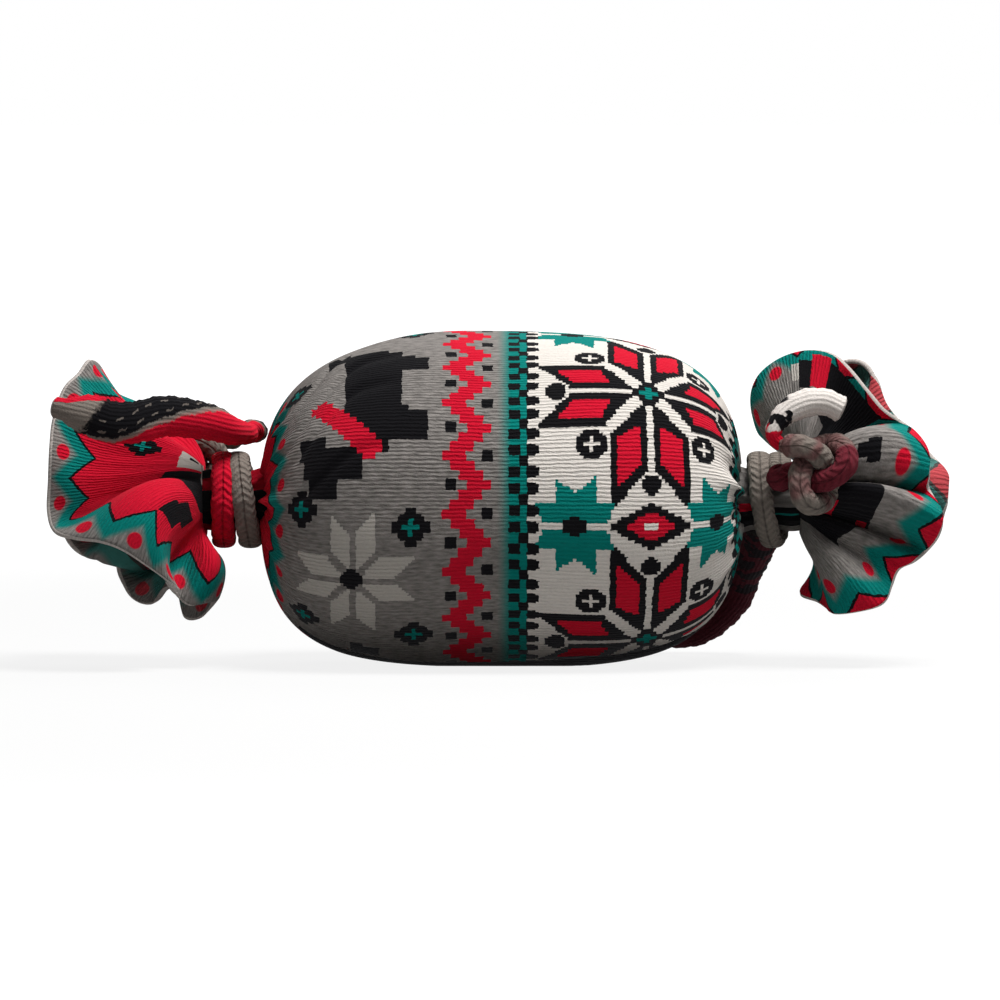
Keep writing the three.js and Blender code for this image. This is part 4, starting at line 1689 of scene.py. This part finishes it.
RIGHT_FOLDS: Folds = (
    (-0.14, -0.58, 0.34, 0.0, 0.0, 0.0),
    (-0.19, -0.54, 0.46, 0.0, 0.03, 0.0),
    (-0.20, -0.50, 0.58, 0.0, 0.04, 0.0),
    (-0.165, -0.45, 0.68, 0.0, 0.05, 0.0),
    (-0.09, -0.40, 0.755, 0.0, 0.06, 0.0),
    (0.01, -0.34, 0.81, 0.0, 0.05, 0.0),
    (0.13, -0.26, 0.835, 0.0, 0.04, 0.0),
    (0.247, -0.18, 0.815, 0.0, 0.0, -0.02),
    (0.34, -0.10, 0.74, 0.0, -0.1, -0.03),
    (0.44, 0.0, 0.62, 0.0, -0.16, -0.03),
    (0.535, 0.06, 0.51, 0.0, -0.16, -0.02),
    (0.66, 0.08, 0.425, 0.0, -0.04, 0.08),
    (0.74, 0.16, 0.34, 0.0, 0.12, 0.17),
    (0.775, 0.24, 0.26, 0.0, 0.14, 0.15),
    (0.775, 0.26, 0.16, 0.0, 0.1, 0.05),
    (0.775, 0.18, 0.08, 0.0, -0.1, -0.03),
    (0.825, 0.24, -0.01, 0.0, 0.02, 0.07),
    (0.85, 0.34, -0.09, 0.0, 0.14, 0.12),
    (0.825, 0.32, -0.19, 0.0, 0.02, 0.04),
    (0.765, 0.22, -0.28, 0.0, -0.1, 0.0),
    (0.69, 0.28, -0.335, 0.0, 0.02, 0.03),
    (0.605, 0.26, -0.38, 0.0, 0.02, 0.0),
    (0.565, 0.30, -0.465, 0.0, 0.0, 0.0),
    (0.53, 0.36, -0.545, 0.0, 0.06, 0.02),
    (0.47, 0.38, -0.585, 0.0, 0.1, 0.02),
    (0.34, 0.36, -0.615, 0.0, 0.1, 0.0),
    (0.245, 0.30, -0.625, 0.02, 0.08, 0.0),
    (0.21, 0.20, -0.605, 0.03, 0.0, 0.0),
    (0.16, 0.02, -0.575, 0.06, -0.02, 0.0),
    (0.07, -0.12, -0.54, 0.08, -0.02, 0.0),
    (0.17, -0.28, -0.44, 0.05, -0.1, 0.0),
    (0.36, -0.34, -0.32, 0.0, -0.12, 0.0),
    (0.60, -0.22, -0.28, 0.0, -0.08, 0.0),
    (0.80, -0.06, -0.21, 0.0, -0.02, 0.0),
    (0.875, 0.02, -0.07, 0.0, 0.0, 0.0),
    (0.895, 0.0, 0.07, 0.0, 0.0, 0.0),
    (0.88, -0.06, 0.165, 0.0, -0.02, 0.0),
    (0.72, -0.2, 0.33, 0.0, -0.08, 0.0),
    (0.56, -0.24, 0.52, 0.0, -0.1, 0.0),
    (0.50, -0.26, 0.67, 0.0, -0.1, 0.0),
    (0.41, -0.32, 0.77, 0.0, -0.1, 0.0),
    (0.27, -0.40, 0.74, 0.0, -0.12, 0.0),
    (0.10, -0.52, 0.53, 0.0, -0.14, 0.0),
    (-0.04, -0.60, 0.37, 0.0, -0.1, 0.0),
)

LEFT_TAIL: Places = (
    (-0.24, -0.34, 0.36),
    (-0.23, -0.2, 0.4),
    (-0.2, 0.0, 0.41),
    (-0.12, 0.2, 0.43),
    (0.04, 0.34, 0.475),
    (0.25, 0.46, 0.505),
    (0.416, 0.54, 0.475),
    (0.552, 0.58, 0.475),
    (0.672, 0.6, 0.515),
    (0.786, 0.6, 0.54),
    (0.883, 0.57, 0.56),
)

RIGHT_SHORT_TAIL: Places = (
    (-0.11, 0.5, 0.385),
    (-0.085, 0.49, 0.46),
    (-0.01, 0.47, 0.53),
    (0.09, 0.45, 0.57),
    (0.19, 0.43, 0.57),
    (0.28, 0.42, 0.53),
)

RIGHT_TAIL: Places = (
    (-0.17, -0.32, -0.18),
    (-0.19, -0.47, -0.3),
    (-0.26, -0.68, -0.47),
    (-0.32, -0.82, -0.62),
    (-0.45, -0.89, -0.75),
    (-0.58, -0.9, -0.82),
    (-0.72, -0.87, -0.83),
)


@dataclass
class Ruffle:
    """The flare of cloth beyond a tie, as wide as the toy's own roll, gathered into the neck.

    Its front spreads in broad folds. Its back, which nobody arranged, hangs in deep pleats.
    """

    end: End
    folds: Folds
    finishes: tuple[bpy.types.Material, bpy.types.Material, bpy.types.Material]
    first_angle: float
    pleated: tuple[float, float]
    print_width: float
    flat_width: float
    puff: float
    print_start: float = 0.0
    reach: float = RUFFLE_REACH
    seat_ball: float = 7.9
    seat_angle: float = math.radians(70)
    thickness: float = CLOTH_THICKNESS
    pleats: int = 11
    pleat_depth: float = 8.0
    crinkle_depth: float = 0.16
    bending: tuple[float, float] = (-1.0, 15.0)
    rows: int = 48
    columns: int = 460

    def rim(self) -> tuple[np.ndarray, np.ndarray]:
        """The rim and the bellies, with the columns evenly spaced along the rim."""
        loop = closed_curve(np.array(self.folds) * self.reach, 4 * self.columns)
        loop = np.vstack([loop, loop[:1]])
        run = run_along(loop[:, :3])
        wanted = run[-1] * np.arange(self.columns) / self.columns
        even = np.stack([np.interp(wanted, run, loop[:, axis]) for axis in range(6)], axis=1)
        LOG.info("%s ruffle: its rim is %.0f mm long", self.end.name, run[-1])
        return even[:, :3], even[:, 3:]

    def middle(self) -> np.ndarray:
        """The cloth's middle face before its pleats, as [out, front, up].

        Each line of the cloth is a quadratic curve: root (1 - s)^2 + knee 2 s (1 - s) + rim s^2, with the
        knee at (root + rim) / 2 + 2 belly. The roots lie on a circle of a ball round the neck's end. Close to
        the tie the gathers puff away from the axis by puff x 12.2 s (1 - s)^4, which is the puff at its most.
        """
        rim, belly = self.rim()
        angle = self.first_angle - FULL_TURN * np.arange(self.columns) / self.columns
        away = stacked(0.0, np.cos(angle), np.sin(angle))
        seat_out = self.seat_ball * math.cos(self.seat_angle)
        seat_radius = self.seat_ball * math.sin(self.seat_angle)
        root = np.array([seat_out, 0.0, 0.0]) + away * seat_radius
        knee = (root + rim) / 2 + 2 * belly
        share = np.linspace(0, 1, self.rows)[:, None, None]
        rest = 1 - share
        puffed = away * (self.puff * 12.2 * share * rest**4)
        return root * rest**2 + knee * 2 * rest * share + rim * share**2 + puffed

    def places(self, points: np.ndarray) -> np.ndarray:
        """Where points lie on the flat cloth, measured from its cut edge along the folds."""
        run = run_along(points)
        run = np.append(run, run[:, :1], axis=1)
        along = self.end.side * (CUT_EDGE - (run[-1:] - run))
        around = self.print_start + self.print_width * np.linspace(0, 1, self.columns + 1)
        return stacked(along, around[None, :])

    def build(self) -> bpy.types.Object:
        """Pleats the back of the cloth along its normals, gives it thickness and dresses it."""
        share = np.linspace(0, 1, self.rows)[:, None]
        turn = np.arange(self.columns)[None, :] / self.columns
        middle = self.end.world(self.middle())
        grid = Grid(middle, self.places(middle), wraps=True)
        first, last = self.pleated
        fade = 0.05
        hanging = smoothstep(first, first + fade, turn) * smoothstep(last, last - fade, turn)
        depth = np.sin(math.pi * share) ** 0.7 * self.pleat_depth
        wave = np.sin(FULL_TURN * self.pleats * turn) * hanging * depth
        crinkle = folds(FULL_TURN * turn, (23, 37), 7) * np.sin(math.pi * share) * self.crinkle_depth
        pleated = grid.raised(wave + crinkle)
        printed = -self.end.side
        front = pleated.raised(printed * self.thickness / 2)
        back = pleated.raised(-printed * self.thickness / 2)
        piece = thick_cloth(f"{self.end.name}_ruffle_cloth", front, back, self.finishes)
        self.end.bend(piece, f"{self.end.name}_neck", f"{self.end.name}_ruffle", self.bending)
        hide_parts(f"{self.end.name}_ruffle")
        flat = (self.flat_width * MM, self.reach * MM)
        return piece


@dataclass
class Tie:
    """A strip cut from the cloth, rolled by its own stretch, wound round a neck and knotted."""

    end: End
    winding_turn: float
    knot_out: float
    tilt: float = 0.0
    path_radius: float = 9.0
    pitch: float = 4.65
    first_pass_out: float = -7.15
    end_angle: float = math.radians(73)
    room_angle: float = math.radians(32)
    lead: float = 7.6
    strand: float = 4.2
    knot_strand: float = 3.3
    knot_lobe: float = 2.65
    knot_depth_ratio: float = 1.4
    knot_front: float = 17.2
    knot_up: float = 7.8
    band_width: float = 5.3
    band_depth: float = 3.9
    cord_width: float = 6.3
    cord_depth: float = 5.2
    bending: tuple[float, float] = (-12.0, -3.5)
    winding_rings: int = 260
    knot_rings: int = 220

    def lead_direction(self) -> np.ndarray:
        """The direction in which the winding leaves the neck for the knot."""
        return np.array([0.0, -math.sin(self.end_angle), -math.cos(self.end_angle)])

    def winding_line(self) -> np.ndarray:
        """The winding's middle line, on the right tie: a circle that climbs by one pass.

        Its place out is the first pass's plus the pitch x a smoothstep of the turn.
        """
        turn = np.linspace(0, self.winding_turn, 220)
        around = self.end_angle + self.winding_turn - turn
        start = self.winding_turn - FULL_TURN + self.room_angle
        climb = smoothstep(start, FULL_TURN - self.room_angle, turn)
        out = self.first_pass_out + self.pitch * climb
        leaning = self.tilt * np.sin(around) * (1 - climb)
        front, up = self.path_radius * np.cos(around), self.path_radius * np.sin(around)
        circle = stacked(out + leaning, -front, up)
        start_angle = self.end_angle + self.winding_turn
        heading = np.array([0.0, math.sin(start_angle), math.cos(start_angle)])
        before = circle[0] + heading * self.strand
        leaving = self.lead_direction()
        after = [circle[-1] + leaving * self.lead * share for share in (0.25, 0.5, 0.75, 1.0)]
        return np.vstack([before, circle[0] + heading * self.strand / 2, circle, *after])

    def knot_line(self) -> np.ndarray:
        """The knot's middle line, on the right tie: in from the winding, round three lobes and up.

        With lobe size l and angle a the lobes are l (sin a + 2 sin 2a) out, l (cos a - 2 cos 2a) up and
        1.4 l sin 3a deep.
        """
        angle = np.radians(np.linspace(335, 640, 90))
        lobe = self.knot_lobe
        loops = stacked(
            self.knot_out + lobe * (np.sin(angle) + 2 * np.sin(2 * angle)),
            -self.knot_front - lobe * self.knot_depth_ratio * np.sin(3 * angle),
            self.knot_up + lobe * (np.cos(angle) - 2 * np.cos(2 * angle)),
        )
        entry = self.winding_line()[-1]
        inside = entry + self.lead_direction() * self.knot_strand
        leaving = unit(loops[-1] - loops[-2])
        return np.vstack([entry, inside, loops, loops[-1] + leaving * self.knot_strand])

    def knot_root(self) -> np.ndarray:
        """Where the knot's strand ends."""
        return self.knot_line()[-1]

    def winding_root(self) -> np.ndarray:
        """Where the winding's strand starts."""
        return self.winding_line()[0]

    @staticmethod
    def rolled(width: float, depth: float, ends: float) -> Callable:
        """The outline of a rolled strip: a squared oval with the strip's own edge as a groove in it.

        Args:
            width: across the strip.
            depth: through it.
            ends: how far from each end it starts to narrow.

        Returns:
            A function of the run and the angle that gives the outline's two offsets.
        """

        def outline(run: np.ndarray, angle: np.ndarray) -> tuple[np.ndarray, np.ndarray]:
            end_size, squareness = 0.62, 0.8
            groove_depth, groove_angle, groove_width = 0.16, 1.9, 0.22
            away = np.minimum(run, run.max() - run)
            narrowed = end_size + (1 - end_size) * smoothstep(0, ends, away)
            from_groove = np.angle(np.exp(1j * (angle - groove_angle)))
            groove = 1 - groove_depth * np.exp(-((from_groove / groove_width) ** 2))
            puff = 1 + 0.05 * np.sin(run * 0.9) + 0.03 * np.sin(run * 2.3 + 1)
            size = narrowed * groove * puff
            side, rise = (
                np.sign(share) * np.abs(share) ** squareness for share in (np.cos(angle), np.sin(angle))
            )
            return side * size * depth / 2, rise * size * width / 2

        return outline

    def winding(self, finish: bpy.types.Material) -> bpy.types.Object:
        """The passes round the neck."""
        line = open_curve(self.end.tied(self.winding_line()), self.winding_rings)
        section = self.rolled(self.band_width, self.band_depth, 3.0)
        piece = swept(f"{self.end.name}_tie_passes", line, section, (self.end.side, 0, 0), finish)
        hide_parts(f"{self.end.name}_tie_winding")
        self.end.bend(piece, "cover", f"{self.end.name}_neck", self.bending)
        return piece

    def knot(self, finish: bpy.types.Material) -> bpy.types.Object:
        """The overhand knot."""
        line = open_curve(self.end.tied(self.knot_line()), self.knot_rings)
        section = self.rolled(self.cord_width, self.cord_depth, 2.0)
        piece = swept(f"{self.end.name}_tie_loops", line, section, (0, 1, 0), finish)
        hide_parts(f"{self.end.name}_tie_knot")
        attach(piece, f"{self.end.name}_neck")
        return piece


@dataclass
class LooseEnd:
    """A tie strip's loose end, half rolled up by its own stretch."""

    name: str
    body: str
    node: str
    root: np.ndarray
    places: Places
    end: End
    facing: tuple[float, float, float]
    finish: bpy.types.Material
    flat_width: float = 12.0
    curl: float = 4.2
    root_curl: float = 0.9
    most_bend: float = 2.6
    thickness: float = CLOTH_THICKNESS
    spread: float = 16.0
    tip_curl: float = 0.6
    tip_length: float = 12.0
    rows: int = 120
    columns: int = 30

    def build(self, cut: bpy.types.Material) -> bpy.types.Object:
        """A strip whose cross-section is an arc.

        At s from the strip's middle line the offsets are k sin(s / k) across and k (1 - cos(s / k)) back,
        where the radius k grows from the rolled root to the open end.
        """
        beyond = self.end.world(np.array(self.places) * RUFFLE_REACH)
        line = open_curve(np.vstack([self.root, beyond]), self.rows)
        side, facing = carried_axes(line, self.facing)
        run = run_along(line)[:, None]
        total = run[-1, 0]
        LOG.info("%s is %.0f mm long", self.name, total)
        at_tip = smoothstep(total - self.tip_length, total, run)
        opened = smoothstep(0, self.spread, run) * (1 - self.tip_curl * at_tip)
        radius = self.root_curl + (self.curl - self.root_curl) * opened
        across = np.linspace(-0.5, 0.5, self.columns)[None, :] * self.flat_width
        reach = np.minimum(self.flat_width / 2, radius * self.most_bend)
        bend = across * (2 * reach / self.flat_width) / radius
        ragged = 0.25 * np.sin(run * 1.7) + 0.2 * np.sin(run * 4.1 + 1)
        wide = radius * np.sin(bend) + ragged * (across / self.flat_width)
        back = -radius * (1 - np.cos(bend))
        points = line[:, None] + side[:, None] * wide[..., None] + facing[:, None] * back[..., None]
        grid = Grid(points, stacked(run, across))
        front = grid.raised(self.thickness / 2)
        rear = grid.raised(-self.thickness / 2)
        piece = thick_cloth(self.name, front, rear, (self.finish, self.finish, cut))
        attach(piece, self.body)
        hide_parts(self.node)
        flat = (self.flat_width * MM, total * MM)
        return piece


@dataclass
class Toy:
    """The whole toy, in the order in which it is made."""

    finishes: Finishes = field(default_factory=Finishes)
    left: End = field(default_factory=lambda: End(-1))
    right: End = field(default_factory=lambda: End(1))

    def build(self) -> None:
        """Makes every piece."""
        StuffedBody().build(self.finishes)
        for end in (self.left, self.right):
            Neck(end).build(self.finishes)
        made = self.finishes
        Ruffle(
            self.left,
            LEFT_FOLDS,
            (made.left, made.left_reverse, made.cut),
            first_angle=math.radians(103),
            pleated=(0.62, 0.97),
            print_width=231.0,
            flat_width=220.0,
            puff=1.8,
        ).build()
        Ruffle(
            self.right,
            RIGHT_FOLDS,
            (made.right, made.right_reverse, made.cut),
            first_angle=math.radians(125),
            pleated=(0.66, 0.98),
            print_width=266.6,
            flat_width=240.0,
            puff=2.0,
            print_start=6.67,
        ).build()
        self.left_tie()
        self.right_tie()

    def left_tie(self) -> None:
        """The left tie, knotted behind, with its long loose end thrown over to the front."""
        tie = Tie(self.left, math.radians(580), 1.5, tilt=1.4)
        tie.winding(self.finishes.left_winding)
        tie.knot(self.finishes.grey_strip)
        root = self.left.tied(tie.knot_root())
        LooseEnd(
            "left_loose_end",
            "left_tail",
            "left_tie_tail",
            root,
            LEFT_TAIL,
            self.left,
            (0, -1, 0.2),
            self.finishes.left_strip,
            flat_width=10.2,
            curl=5.2,
            tip_curl=0.8,
            spread=58.0,
        ).build(self.finishes.cut)

    def right_tie(self) -> None:
        """The right tie, knotted in front, with one end on top of the knot and one behind the body."""
        tie = Tie(self.right, math.radians(455), 5.0)
        tie.winding(self.finishes.grey_strip)
        tie.knot(self.finishes.knot_strip)
        LooseEnd(
            "right_short_loose_end",
            "right_short_tail",
            "right_tie_short_tail",
            self.right.tied(tie.knot_root()),
            RIGHT_SHORT_TAIL,
            self.right,
            (0, -1, 0),
            self.finishes.short_strip,
            curl=2.7,
            tip_curl=0.2,
        ).build(self.finishes.cut)
        LooseEnd(
            "right_long_loose_end",
            "right_tail",
            "right_tie_tail",
            self.right.tied(tie.winding_root()),
            RIGHT_TAIL,
            self.right,
            (0, -1, 0),
            self.finishes.shaded_long_strip,
        ).build(self.finishes.cut)


def main() -> None:
    """Builds the studio and the toy."""
    logging.basicConfig(level=logging.INFO, format="%(name)s %(message)s")
    bpy.context.scene.view_settings.view_transform = "Standard"
    Stage().build()
    Toy().build()


if __name__ == "__main__":
    main()
